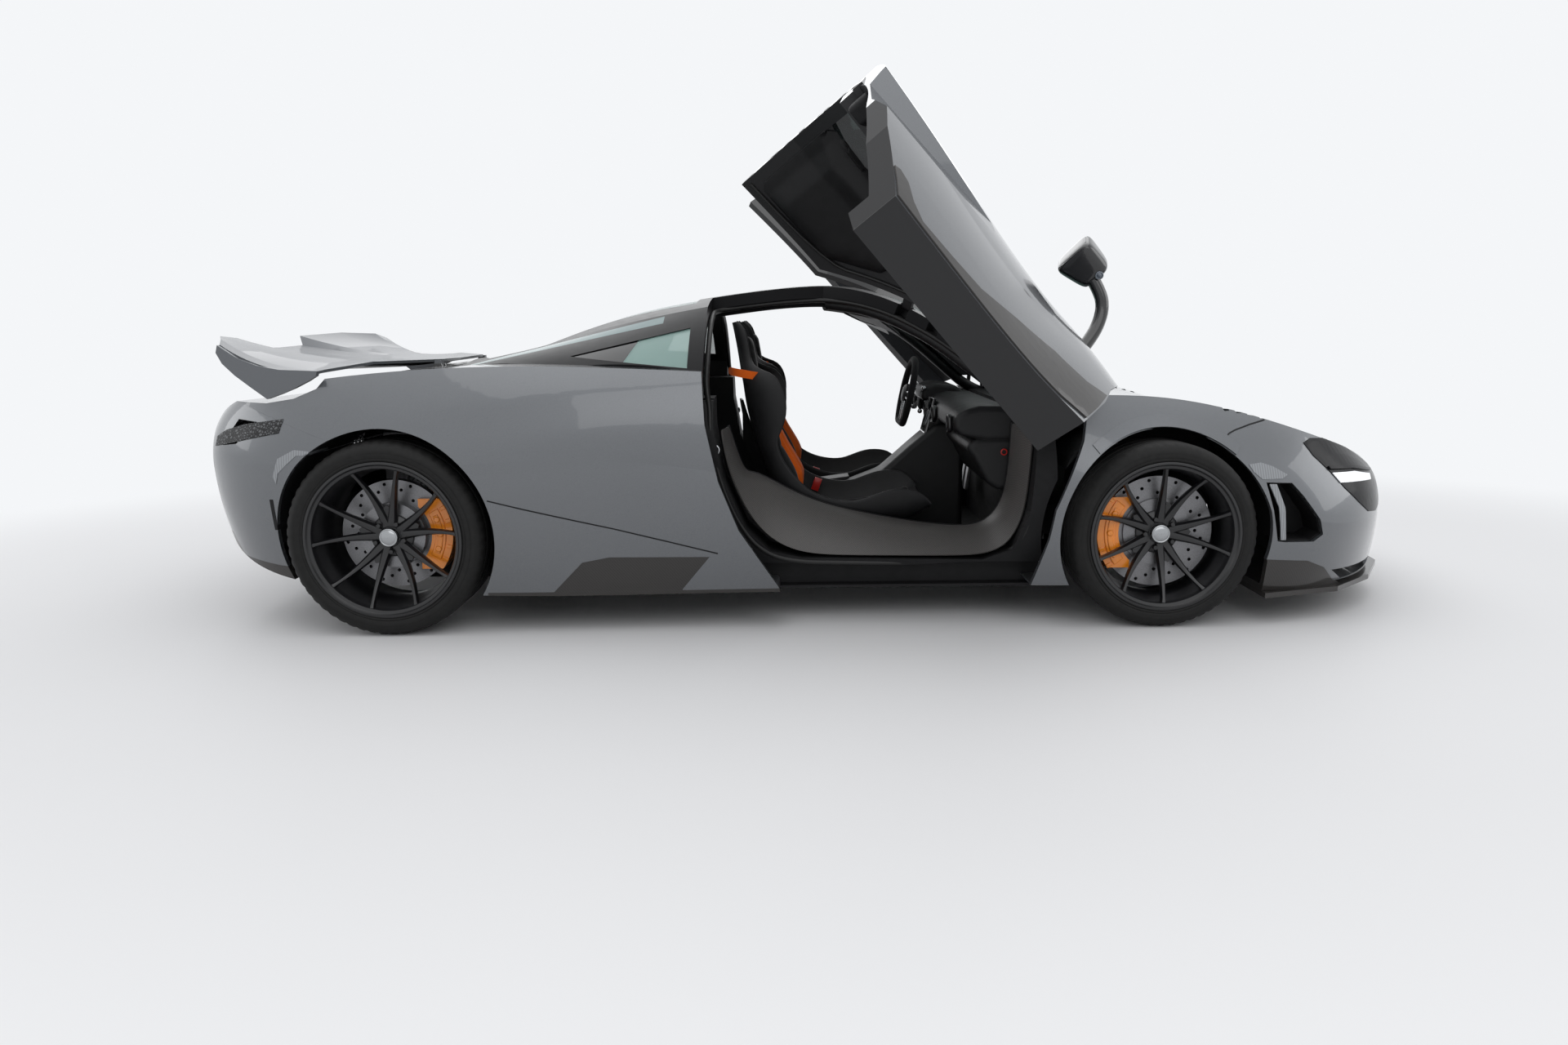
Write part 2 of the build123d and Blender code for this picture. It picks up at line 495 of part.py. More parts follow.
# end, axle x, track half, hub z, tyre radius, tyre width, rim radius, spoke phase in degrees, disc radius
WHEELS = [("front", FRONT_AXLE_X, FRONT_TRACK_HALF, FRONT_HUB_Z, FRONT_TYRE_R, FRONT_TYRE_W, FRONT_RIM_R, 16.5,
           FRONT_DISC_R),
          ("rear", REAR_AXLE_X, REAR_TRACK_HALF, REAR_HUB_Z, REAR_TYRE_R, REAR_TYRE_W, REAR_RIM_R, -4.0,
           REAR_DISC_R)]
nodes = {}
for end, *sizes in WHEELS:
    for kind, piece in zip(("tyre_", "rim_", "disc_"), wheel(*sizes)):
        nodes[kind + end + "_left"] = piece
        nodes[kind + end + "_right"] = flip(piece)


def caliper(x, y, z, angle, disc_r):
    """Saddle over the disc's edge at an angle from straight up, towards +X."""
    saddle = ring(disc_r + 16, disc_r - 58, -DISC_IN - 42, -DISC_IN + 40)
    saddle = saddle & (Rot(0, angle, 0) * box(-125, 125, -400, 400, disc_r - 100, disc_r + 30))
    saddle = saddle - ring(disc_r + 5, 20, -DISC_IN - 20, -DISC_IN + 20)
    return Pos(x, y, z) * saddle


def upright(x, y_wheel, z, angle, disc_r, tyre_w):
    """Wheel carrier with its stub axle and the caliper's bracket, left side."""
    face = y_wheel - DISC_IN - 42
    hub = y_wheel + tyre_w / 2 - 8 - DISH - 36 - 0.3
    u = box(x - 42, x + 42, face - 34, face, z - 112, z + 130) + across(x, z, 56, face - 2, hub)
    bracket = Pos(x, 0, z) * Rot(0, angle, 0) * box(-45, 45, face - 24, face, 0, disc_r - 40)
    return u + bracket


knuckle = upright(FRONT_AXLE_X, FRONT_TRACK_HALF, FRONT_HUB_Z, -90, FRONT_DISC_R, FRONT_TYRE_W)
knuckle = knuckle + caliper(FRONT_AXLE_X, FRONT_TRACK_HALF, FRONT_HUB_Z, -90, FRONT_DISC_R)
knuckle = knuckle + Pos(FRONT_AXLE_X, KINGPIN_Y, (192.4 + 481.6) / 2) * Cylinder(16, 481.6 - 192.4)
rear_upright = upright(REAR_AXLE_X, REAR_TRACK_HALF, REAR_HUB_Z, 90, REAR_DISC_R, REAR_TYRE_W)
rear_upright = rear_upright + caliper(REAR_AXLE_X, REAR_TRACK_HALF, REAR_HUB_Z, 90, REAR_DISC_R)

# suspension links: (x, y, z) of the inner and outer ends, radius
FRONT_ARMS = [((1060, 304, 250), (FRONT_AXLE_X, KINGPIN_Y, 172), 14),
              ((1340, 304, 250), (FRONT_AXLE_X, KINGPIN_Y, 172), 14),
              ((1080, 304, 450), (FRONT_AXLE_X, KINGPIN_Y, 500), 12),
              ((1320, 304, 450), (FRONT_AXLE_X, KINGPIN_Y, 500), 12)]
REAR_ARMS = [((-1330, 264, 260), (REAR_AXLE_X, 698, 235), 14), ((-1620, 254, 260), (REAR_AXLE_X, 698, 235), 14),
             ((-1350, 264, 470), (REAR_AXLE_X, 698, 475), 12), ((-1590, 254, 470), (REAR_AXLE_X, 698, 475), 12)]


def arms(table, coil, wall):
    """Links with brackets 14 inside their ends, a coil-over, and the bars that carry it."""
    x, y, z = coil[1]
    s = rod(coil[0], coil[1], 30) + box(x - 34, x + 34, wall, y + 30, z - 40, z + 20)
    for a, b, r in table:
        s = s + rod(a, b, r) + Pos(*b) * Sphere(r + 6)
        s = s + box(a[0] - 22, a[0] + 22, a[1] - 14, a[1] + 12, a[2] - 22, a[2] + 22)
    x, y, z = coil[0]
    return s + rod((x - 70, y, z - 12), (x + 70, y, z - 12), 12)


front_suspension = pair(arms(FRONT_ARMS, ((1200, 560, 218), (1200, 340, 560)), 290))
rear_suspension = arms(REAR_ARMS, ((REAR_AXLE_X, 560, 255), (REAR_AXLE_X, 330, 620)), 240)
rear_suspension = rear_suspension + rod((REAR_AXLE_X, 240, 340), (REAR_AXLE_X, 719, 340), 22)
rear_suspension = rear_suspension + flip(rear_suspension) + box(-1700, -1382, -240, 240, 200, 640)
liner_front = (Pos(FRONT_AXLE_X, 0, FRONT_HUB_Z) * Rot(90, 0, 0) * (Cylinder(STEER_R + 10, 1900)
               - Cylinder(STEER_R, 2000))) & box(0, 3000, 540, STEER_Y, FRONT_HUB_Z - 20, 1000)
liner_rear = (Pos(REAR_AXLE_X, 0, REAR_HUB_Z) * Rot(90, 0, 0) * (Cylinder(REAR_ARCH_R + 12, 1900)
              - Cylinder(REAR_ARCH_R, 2000))) & box(-3000, 0, 540, 1200, REAR_HUB_Z - 20, 1000)
wheel_liners = pair(((liner_front + liner_rear) & inner) - door_cut)

# ---- cabin --------------------------------------------------------------------------------
SEAT_SIDE = [(-290, 1052), (-236, 1062), (-140, 800), (-60, 520), (20, 412), (300, 384), (440, 430),
             (455, 395), (330, 290), (60, 236), (-90, 256), (-180, 420), (-262, 760)]
SEAT_CUT = [(-262, 1200), (-262, 1040), (-228, 760), (-146, 430), (-80, 290), (60, 262), (330, 312),
            (480, 424), (480, 1200)]
# half outline of the seat seen from the front (y, z), from the foot up
SEAT_FRONT = [(250, 168), (258, 420), (222, 560), (226, 700), (262, 790), (250, 870), (150, 945), (128, 1040),
              (100, 1070)]
seat_wide = [(y, z) for y, z in SEAT_FRONT] + [(-y, z) for y, z in reversed(SEAT_FRONT)]
seat_slim = [(y - 26, z) for y, z in SEAT_FRONT] + [(26 - y, z) for y, z in reversed(SEAT_FRONT)]
seat = side(SEAT_SIDE, -270, 270) & front(seat_wide, -500, 600)
seat = seat - (side(SEAT_CUT, -262, 262) & front(seat_slim, -500, 600))
seat = seat + (box(-40, 300, -190, 190, CABIN_FLOOR, 262) - box(-20, 280, -160, 160, CABIN_FLOOR - 5, 240))
seat_shells = pair(Pos(0, SEAT_Y, 0) * seat)
# pads: side outline, half width
PADS = [([(-258, 1030), (-226, 764), (-190, 610), (-160, 620), (-196, 770), (-226, 1024)], 96),
        ([(-226, 756), (-146, 436), (-118, 452), (-196, 758)], 196),
        ([(-140, 424), (-82, 298), (-50, 312), (-112, 440)], 196),
        ([(-66, 290), (60, 264), (330, 314), (430, 388), (420, 404), (330, 346), (60, 296), (-50, 318)], 204)]
seat_pads = pair(Compound(children=[side(p, SEAT_Y - w, SEAT_Y + w) for p, w in PADS]))
DASH = [(560, 742), (515, 700), (520, 640), (600, 600), (640, 430), (770, 430), (770, 725), (700, 748)]
dashboard = side(DASH, -CABIN_HALF + 2, CABIN_HALF - 2)
binnacle = side([(500, 770), (498, 700), (560, 690), (700, 740), (640, 782)], WHEEL_Y - 150, WHEEL_Y + 150)
console = side([(-160, CABIN_FLOOR), (-160, 330), (-60, 372), (300, 430), (520, 610), (660, 640), (660, CABIN_FLOOR)],
               -92, 92) - box(-40, 180, -50, 50, 340, 460)
screen = side([(470, 560), (462, 572), (512, 742), (522, 736)], -80, 80)
column = rod((WHEEL_X + 18.3 * 0.977, WHEEL_Y, WHEEL_Z - 18.3 * 0.213), (640, WHEEL_Y, WHEEL_Z - 190 * 0.213), 34)
dashboard = dashboard + binnacle + console + screen + column
steer = Torus(156, 14) + Cylinder(46, 36)
for a in (8, 172, 270):
    steer = steer + Rot(0, 0, a) * Pos(80, 0, 0) * Box(150, 30, 12)
steering_wheel = Plane(origin=(WHEEL_X, WHEEL_Y, WHEEL_Z), z_dir=(-0.977, 0, 0.213), x_dir=(0, 1, 0)) * steer

# ---- rear wing ------------------------------------------------------------------------------
# y, x_lead, z_lead, x_trail, z_trail, sag of the chord, thickness
WING = [(0, -1440, 926, -2190, 976, 22, 26), (240, -1424, 930, -2196, 980, 24, 26),
        (285, -1424, 930, -2224, 1020, 40, 26), (560, -1600, 932, -2150, 1030, 40, 26),
        (740, -1694, 914, -2058, 1022, 36, 24), (800, -1712, 908, -2034, 1004, 32, 22)]


def wing_section(row):
    y, xl, zl, xt, zt, sag, th = row
    xm, zm = (xl + xt) / 2, (zl + zt) / 2 - sag
    with BuildSketch(Plane(origin=(0, y, 0), x_dir=(1, 0, 0), z_dir=(0, -1, 0))) as s:
        with BuildLine():
            ThreePointArc((xl, zl), (xm, zm), (xt, zt))
            Line((xt, zt), (xt, zt - 6))
            ThreePointArc((xt, zt - 6), (xm, zm - th), (xl, zl - 10))
            Line((xl, zl - 10), (xl, zl))
        make_face()
    return s.sketch


WING_END = [(-1700, 910), (-1830, 916), (-1903, 930), (-1968, 955), (-2035, 1002), (-2042, 976), (-2024, 939),
            (-1984, 898), (-1933, 857), (-1880, 816), (-1830, 833), (-1785, 851), (-1734, 876), (-1706, 893)]
wing_half = loft([wing_section(r) for r in WING], ruled=True)
rear_wing = wing_half + side(WING_END, 792, 818)
rear_wing = rear_wing + flip(rear_wing)
px, pz = WING_PIVOT
lug = box(px - 18, px + 12, 296, 324, pz - 16, 926) - across(px, pz, PIN_R + PIN_FIT, 200, 400)
rear_wing = rear_wing + lug + flip(lug)
foot = side([(px + 12, pz + 6), (px - 14, pz + 6), (px - 50, 850), (px + 36, 850)], 282, 292)
foot = foot + Pos(0, 46, 0) * foot + across(px, pz, PIN_R, 285, 335)
wing_base = pair(foot)
lug_bay = box(px - 44, px + 40, 292, 328, 780, 1000)
cover = cover - lug_bay - flip(lug_bay) - foot - flip(foot)

PARTS = {"tub": tub, "sill_covers": sill_covers, "canopy_frame": canopy_frame, "windscreen": windscreen,
         "rear_glass": rear_glass, "front_bumper": bumper, "headlamps": headlamps, "front_ducts": front_ducts,
         "splitter": splitter, "front_fenders": fenders, "bonnet": bonnet, "rear_quarters": quarters,
         "engine_cover": cover, "side_skirts": skirts, "rear_bumper": rear_bumper, "diffuser": diffuser,
         "tail_mesh": tail_mesh, "tail_lamps": tail_lamps, "exhausts": exhausts, "luggage_tub": luggage,
         "underfloor": underfloor, "engine": engine, "front_suspension": front_suspension,
         "rear_suspension": rear_suspension, "rear_uprights": pair(rear_upright), "wheel_liners": wheel_liners,
         "seat_shells": seat_shells, "seat_pads": seat_pads, "dashboard": dashboard,
         "steering_wheel": steering_wheel, "rear_wing": rear_wing, "wing_base": wing_base,
         "knuckle_left": knuckle, "knuckle_right": flip(knuckle)}
PARTS.update(nodes)
DOOR_PIECES = {"door": door_low, "door_blade": door_blade, "door_roof": door_top, "door_glass": door_glass,
               "mirror": mirror_body}
for name, piece in DOOR_PIECES.items():
    piece = opened(piece)
    PARTS[name + "_left"] = piece
    PARTS[name + "_right"] = flip(piece)
for name, piece in PARTS.items():
    save(piece, name)
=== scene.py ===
import json
import math
import sys

import bpy
from mathutils import Matrix, Vector
from mathutils.bvhtree import BVHTree
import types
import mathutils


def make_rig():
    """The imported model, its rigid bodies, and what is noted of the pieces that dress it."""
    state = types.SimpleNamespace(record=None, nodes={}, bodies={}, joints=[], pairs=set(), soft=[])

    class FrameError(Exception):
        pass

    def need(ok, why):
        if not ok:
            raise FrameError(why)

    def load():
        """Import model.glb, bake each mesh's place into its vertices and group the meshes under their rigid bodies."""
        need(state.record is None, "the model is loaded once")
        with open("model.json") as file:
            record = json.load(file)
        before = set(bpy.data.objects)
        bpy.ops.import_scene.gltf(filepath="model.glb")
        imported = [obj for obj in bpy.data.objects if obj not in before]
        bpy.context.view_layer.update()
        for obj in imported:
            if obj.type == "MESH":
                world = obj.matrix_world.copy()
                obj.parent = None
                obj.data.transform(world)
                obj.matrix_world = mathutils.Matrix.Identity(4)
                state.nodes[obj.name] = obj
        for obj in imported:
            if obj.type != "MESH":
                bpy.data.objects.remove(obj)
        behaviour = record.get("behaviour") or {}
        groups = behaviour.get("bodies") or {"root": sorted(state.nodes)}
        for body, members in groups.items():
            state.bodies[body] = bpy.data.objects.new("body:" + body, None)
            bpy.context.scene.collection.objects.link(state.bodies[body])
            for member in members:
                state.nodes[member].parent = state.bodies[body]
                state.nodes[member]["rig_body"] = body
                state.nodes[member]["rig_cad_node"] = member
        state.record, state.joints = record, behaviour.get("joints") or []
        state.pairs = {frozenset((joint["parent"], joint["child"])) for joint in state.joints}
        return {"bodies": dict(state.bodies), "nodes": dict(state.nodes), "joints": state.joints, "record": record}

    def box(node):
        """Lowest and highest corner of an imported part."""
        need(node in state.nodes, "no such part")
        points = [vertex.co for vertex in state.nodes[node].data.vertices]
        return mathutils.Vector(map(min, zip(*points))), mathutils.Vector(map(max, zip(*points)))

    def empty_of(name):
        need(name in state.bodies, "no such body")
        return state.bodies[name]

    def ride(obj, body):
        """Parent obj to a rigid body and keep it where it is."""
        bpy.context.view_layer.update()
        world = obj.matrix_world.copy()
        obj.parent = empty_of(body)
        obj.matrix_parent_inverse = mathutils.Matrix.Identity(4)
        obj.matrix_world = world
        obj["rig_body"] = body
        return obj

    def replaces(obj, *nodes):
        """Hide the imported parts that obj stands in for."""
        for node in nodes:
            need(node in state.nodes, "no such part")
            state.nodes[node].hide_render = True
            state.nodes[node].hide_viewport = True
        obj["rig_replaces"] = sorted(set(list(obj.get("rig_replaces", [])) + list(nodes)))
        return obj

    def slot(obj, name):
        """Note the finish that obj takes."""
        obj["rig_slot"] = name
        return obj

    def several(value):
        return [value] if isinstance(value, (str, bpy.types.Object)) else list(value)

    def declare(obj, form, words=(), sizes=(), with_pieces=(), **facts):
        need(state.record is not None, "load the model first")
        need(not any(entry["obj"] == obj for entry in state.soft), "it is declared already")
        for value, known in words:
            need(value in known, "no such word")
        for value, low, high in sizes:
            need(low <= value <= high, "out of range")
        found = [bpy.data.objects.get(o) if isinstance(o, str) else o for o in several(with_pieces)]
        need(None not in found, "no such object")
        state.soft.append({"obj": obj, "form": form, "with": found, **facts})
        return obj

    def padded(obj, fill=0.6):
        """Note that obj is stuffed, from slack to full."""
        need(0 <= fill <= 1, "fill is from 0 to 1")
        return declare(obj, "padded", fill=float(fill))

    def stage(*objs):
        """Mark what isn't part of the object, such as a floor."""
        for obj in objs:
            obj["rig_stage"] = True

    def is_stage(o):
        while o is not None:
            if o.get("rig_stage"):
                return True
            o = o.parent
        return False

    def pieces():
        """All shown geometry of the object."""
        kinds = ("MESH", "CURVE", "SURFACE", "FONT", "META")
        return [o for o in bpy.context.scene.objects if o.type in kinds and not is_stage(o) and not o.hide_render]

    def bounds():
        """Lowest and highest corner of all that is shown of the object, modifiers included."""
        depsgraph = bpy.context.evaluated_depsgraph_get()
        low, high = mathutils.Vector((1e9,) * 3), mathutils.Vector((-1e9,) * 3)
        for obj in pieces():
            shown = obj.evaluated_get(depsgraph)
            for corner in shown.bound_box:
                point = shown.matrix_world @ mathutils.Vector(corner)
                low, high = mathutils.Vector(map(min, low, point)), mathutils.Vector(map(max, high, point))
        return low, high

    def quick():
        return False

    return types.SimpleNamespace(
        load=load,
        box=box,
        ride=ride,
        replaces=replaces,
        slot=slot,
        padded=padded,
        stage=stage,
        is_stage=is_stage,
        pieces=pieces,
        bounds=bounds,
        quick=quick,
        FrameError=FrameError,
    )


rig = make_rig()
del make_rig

bl_info = {
    "name": "Coupe with dihedral doors",
    "version": (1, 0, 0),
    "blender": (4, 5, 0),
    "location": "View3D > Sidebar > Coupe",
    "description": "Dresses the coupe's solids with paint, trim, wheels, cabin and studio",
    "category": "Object",
}

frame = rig.load()
NODES = frame["nodes"]
JOINTS = {j["name"]: j for j in frame["joints"]}
CAD_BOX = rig.bounds()
SIDES = (("right", -1), ("left", 1))
FAR = 1.6        # y or z outside the body, where lines that look for its surface start
STUDIO_WHITE = (0.955, 0.97, 0.99, 1.0)
# each axle's left wheel as the frame has it: centre x, y, z, tyre radius and half width, rim's bead radius
AXLES = {}
for end in ("front", "rear"):
    low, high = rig.box("tyre_" + end + "_left")
    rim_low, rim_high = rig.box("rim_" + end + "_left")
    AXLES[end] = {"x": (low.x + high.x) / 2, "z": (low.z + high.z) / 2, "y": (low.y + high.y) / 2,
                  "r": (high.z - low.z) / 2, "half": (high.y - low.y) / 2,
                  "lip": (rim_high.z - rim_low.z) / 2}


# ---------------------------------------------------------------- shader maths
class Wire:
    """A number on a socket. Sums, products and the rest add their Math nodes."""

    def __init__(self, finish, socket):
        self.finish, self.socket = finish, socket

    def calc(self, kind, *others):
        return self.finish.add("ShaderNodeMath", {"operation": kind}, [self, *others]).out()

    def __add__(self, o):
        return self.calc("ADD", o)

    __radd__ = __add__

    def __mul__(self, o):
        return self.calc("MULTIPLY", o)

    __rmul__ = __mul__

    def __sub__(self, o):
        return self.calc("SUBTRACT", o)

    def __rsub__(self, o):
        return self.finish.add("ShaderNodeMath", {"operation": "SUBTRACT"}, [o, self]).out()

    def __truediv__(self, o):
        return self.calc("DIVIDE", o)

    def __mod__(self, o):
        return self.calc("FLOORED_MODULO", o)

    def __abs__(self):
        return self.calc("ABSOLUTE")

    def __gt__(self, o):
        return self.calc("GREATER_THAN", o)

    def __lt__(self, o):
        return self.calc("LESS_THAN", o)

    def floor(self):
        return self.calc("FLOOR")

    def sin(self):
        return self.calc("SINE")

    def low(self, o):
        return self.calc("MINIMUM", o)

    def high(self, o):
        return self.calc("MAXIMUM", o)

    def ramp(self, a, b, to_a=0.0, to_b=1.0):
        """Smooth step of this number from a..b to to_a..to_b."""
        return self.finish.add("ShaderNodeMapRange", {"interpolation_type": "SMOOTHSTEP"},
                [self, a, b, to_a, to_b]).out()


class Placed:
    """A node just added to a finish."""

    def __init__(self, finish, node):
        self.finish, self.node = finish, node

    def out(self, key=0):
        return Wire(self.finish, self.node.outputs[key])


class Finish:
    """A material built round one Principled shader, patterned in Object coordinates."""

    def __init__(self, name, colour, rough=0.5, metal=0.0, **fixed):
        self.material = bpy.data.materials.new(name)
        self.material.use_nodes = True
        self.tree = self.material.node_tree
        self.shader = self.tree.nodes["Principled BSDF"]
        self.material.diffuse_color = (*colour, 1.0)
        self.set("Base Color", (*colour, 1.0))
        self.set("Roughness", rough)
        self.set("Metallic", metal)
        for key, value in fixed.items():
            self.set(key.replace("_", " "), value)
        self._place = None

    def set(self, socket, value):
        target = self.shader.inputs[socket]
        if isinstance(value, Wire):
            self.tree.links.new(value.socket, target)
        else:
            target.default_value = value

    def add(self, kind, settings=None, inputs=()):
        node = self.tree.nodes.new(kind)
        for key, value in (settings or {}).items():
            if key == "stops":
                ramp = node.color_ramp
                while len(ramp.elements) < len(value):
                    ramp.elements.new(0.5)
                for element, (at, colour) in zip(ramp.elements, value):
                    element.position, element.color = at, (*colour, 1.0)
            else:
                setattr(node, key, value)
        pairs = inputs.items() if isinstance(inputs, dict) else enumerate(inputs)
        for key, value in pairs:
            if value is None:
                continue
            if isinstance(value, Wire):
                self.tree.links.new(value.socket, node.inputs[key])
            else:
                node.inputs[key].default_value = value
        return Placed(self, node)

    def place(self):
        """Object coordinates, as a vector."""
        if self._place is None:
            self._place = self.add("ShaderNodeTexCoord").out("Object")
        return self._place

    def axes(self):
        xyz = self.add("ShaderNodeSeparateXYZ", None, [self.place()])
        return xyz.out(0), xyz.out(1), xyz.out(2)

    def noise(self, scale, detail=2.0, rough=0.5, at=None):
        return self.add("ShaderNodeTexNoise", None, {"Vector": at or self.place(), "Scale": scale,
                "Detail": detail, "Roughness": rough}).out(0)

    def cells(self, scale, feature="F1", at=None, key="Distance"):
        return self.add("ShaderNodeTexVoronoi", {"feature": feature},
                        {"Vector": at or self.place(), "Scale": scale}).out(key)

    def blend(self, mask, a, b):
        """Colour a where the mask is 0, b where it is 1."""
        node = self.tree.nodes.new("ShaderNodeMix")
        node.data_type = "RGBA"
        for key, value in ((0, mask), (6, a), (7, b)):
            if isinstance(value, Wire):
                self.tree.links.new(value.socket, node.inputs[key])
            else:
                node.inputs[key].default_value = value if key == 0 else (*value[:3], 1.0)
        return Wire(self, node.outputs[2])

    def bump(self, height, strength=0.3, distance=0.001, under=None):
        inputs = {"Height": height, "Strength": strength, "Distance": distance}
        if under is not None:
            inputs["Normal"] = under
        return self.add("ShaderNodeBump", None, inputs).out()

    def facing(self, direction):
        """How far the surface faces a direction, -1 to 1."""
        normal = self.add("ShaderNodeTexCoord").out("Normal")
        return self.add("ShaderNodeVectorMath", {"operation": "DOT_PRODUCT"},
                        [normal, tuple(direction)]).out("Value")

    def soften(self, radius):
        """Rounded look along sharp edges."""
        return self.add("ShaderNodeBevel", {"samples": 4}, {"Radius": radius}).out()


FINISHES = {}


# finishes patterned by noise alone: tones (noise, dark, light) vary the colour, grain (noise, gain, base) the
# roughness, bumps (noise, strength, distance) the height; edge is the radius of softened edges
PLAIN = {
    "lamp_black": dict(name="lamp_black", colour=(0.004, 0.004, 0.005), rough=0.2,
                       grain=((30.0, 3.0), 0.1, 0.16), edge=0.0015, Specular_IOR_Level=0.12),
    "door_glass": dict(name="door_glass", colour=(0.012, 0.016, 0.016), rough=0.02,
                       grain=((3.0,), 0.02, 0.01), Alpha=0.8),
    "mirror": dict(name="mirror_glass", colour=(0.09, 0.094, 0.098), rough=0.02, metal=1.0,
                   grain=((20.0,), 0.02, 0.02)),
    "rubber": dict(name="tyre_rubber", colour=(0.010, 0.010, 0.010), rough=0.72,
                   tones=((26.0, 5.0, 0.6), (0.006, 0.006, 0.006), (0.015, 0.0147, 0.0143)),
                   grain=((60.0,), 0.18, 0.58), bumps=((500.0, 3.0), 0.12, 0.0003), Specular_IOR_Level=0.25),
    "seal_rubber": dict(name="seal_rubber", colour=(0.008, 0.008, 0.008), rough=0.5,
                        tones=((30.0, 4.0), (0.005, 0.005, 0.005), (0.011, 0.011, 0.011)),
                        grain=((70.0, 3.0), 0.2, 0.42), bumps=((900.0, 2.0), 0.1, 0.0002),
                        Specular_IOR_Level=0.45),
    "satin_black": dict(name="satin_black", colour=(0.006, 0.006, 0.007), rough=0.34,
                        grain=((50.0, 4.0), 0.14, 0.28), edge=0.0016, Specular_IOR_Level=0.5,
                        Coat_Weight=0.15, Coat_Roughness=0.2),
    "disc": dict(name="turned_disc", colour=(0.24, 0.24, 0.25), rough=0.35, metal=0.9,
                 tones=((240.0, 4.0, 0.7), (0.10, 0.10, 0.105), (0.30, 0.30, 0.31)),
                 grain=((240.0, 4.0, 0.7), 0.25, 0.25), bumps=((700.0,), 0.1, 0.0002)),
    "forged": dict(name="forged_alloy", colour=(0.3, 0.3, 0.31), rough=0.42, metal=0.9,
                   tones=((40.0, 4.0), (0.2, 0.2, 0.21), (0.4, 0.4, 0.41)), grain=((80.0,), 0.2, 0.34),
                   edge=0.0015),
    "silver": dict(name="bright_silver", colour=(0.36, 0.37, 0.38), rough=0.26, metal=1.0,
                   grain=((60.0,), 0.1, 0.17), edge=0.001),
    "lens": dict(name="projector_lens", colour=(0.10, 0.12, 0.15), rough=0.05, metal=0.2,
                 grain=((60.0,), 0.04, 0.03), Coat_Weight=1.0, Coat_Roughness=0.01),
    "red_plastic": dict(name="buckle_red", colour=(0.55, 0.02, 0.015), rough=0.35,
                        grain=((90.0,), 0.15, 0.28), edge=0.001, Coat_Weight=0.3),
    "screen": dict(name="display_glass", colour=(0.004, 0.004, 0.006), rough=0.08,
                   grain=((20.0,), 0.05, 0.05), Coat_Weight=1.0, Coat_Roughness=0.01),
    "cast": dict(name="cast_alloy", colour=(0.22, 0.22, 0.23), rough=0.6, metal=0.7,
                 tones=((60.0, 5.0), (0.13, 0.13, 0.14), (0.3, 0.3, 0.31)), grain=((120.0, 4.0), 0.25, 0.45),
                 bumps=((700.0, 4.0), 0.3, 0.0005)),
}


def plain(name, colour, rough, metal=0.0, tones=None, grain=None, bumps=None, edge=None, **fixed):
    """A finish of the table above."""
    f = Finish(name, colour, rough, metal, **fixed)
    if tones:
        f.set("Base Color", f.blend(f.noise(*tones[0]), *tones[1:]))
    if grain:
        f.set("Roughness", f.noise(*grain[0]) * grain[1] + grain[2])
    if edge:
        f.set("Normal", f.soften(edge))
    if bumps:
        f.set("Normal", f.bump(f.noise(*bumps[0]), *bumps[1:]))
    return f.material


def finish(name):
    """The material of that name, made when first asked for. After a colon comes the door it is for."""
    if name not in FINISHES:
        kind, *side_name = name.split(":")
        FINISHES[name] = plain(**PLAIN[kind]) if kind in PLAIN else globals()["finish_" + kind](*side_name)
    return FINISHES[name]


def door_turn(side_name):
    """Matrix that takes a shape made on the closed door to where the open door stands."""
    j = JOINTS["door_" + side_name]
    at = Vector(j["pos_m"])
    turn = Matrix.Rotation(math.radians(-j["range_deg"][0]), 4, Vector(j["axis"]))
    return Matrix.Translation(at) @ turn @ Matrix.Translation(-at)


def outward(side_name, tilt=0.0):
    """Where the outside of a door faces once it is open; tilt leans it to the roof."""
    out = Vector((0, (1 if side_name == "left" else -1) * (1 - tilt), tilt)).normalized()
    return door_turn(side_name).to_3x3() @ out


def inner_mask(f, side_name, tilt=0.0, edge=0.28):
    """1 on the faces of an open door that are turned away from the outside."""
    return f.facing(outward(side_name, tilt)) < edge


def weave(f, pitch):
    """Two-over-two twill on x and on z + 0.8 y, the same axes on every panel; returns mask and height."""
    x, y, z = f.axes()
    u, v = x / pitch, (z + y * 0.8) / pitch
    cell = (u.floor() + v.floor()) % 4.0
    warp = cell < 1.5
    across = ((u % 1.0) - 0.5) * 3.1416
    along = ((v % 1.0) - 0.5) * 3.1416
    crown = warp * (across + 1.5708).sin() + (1.0 - warp) * (along + 1.5708).sin()
    return warp, crown


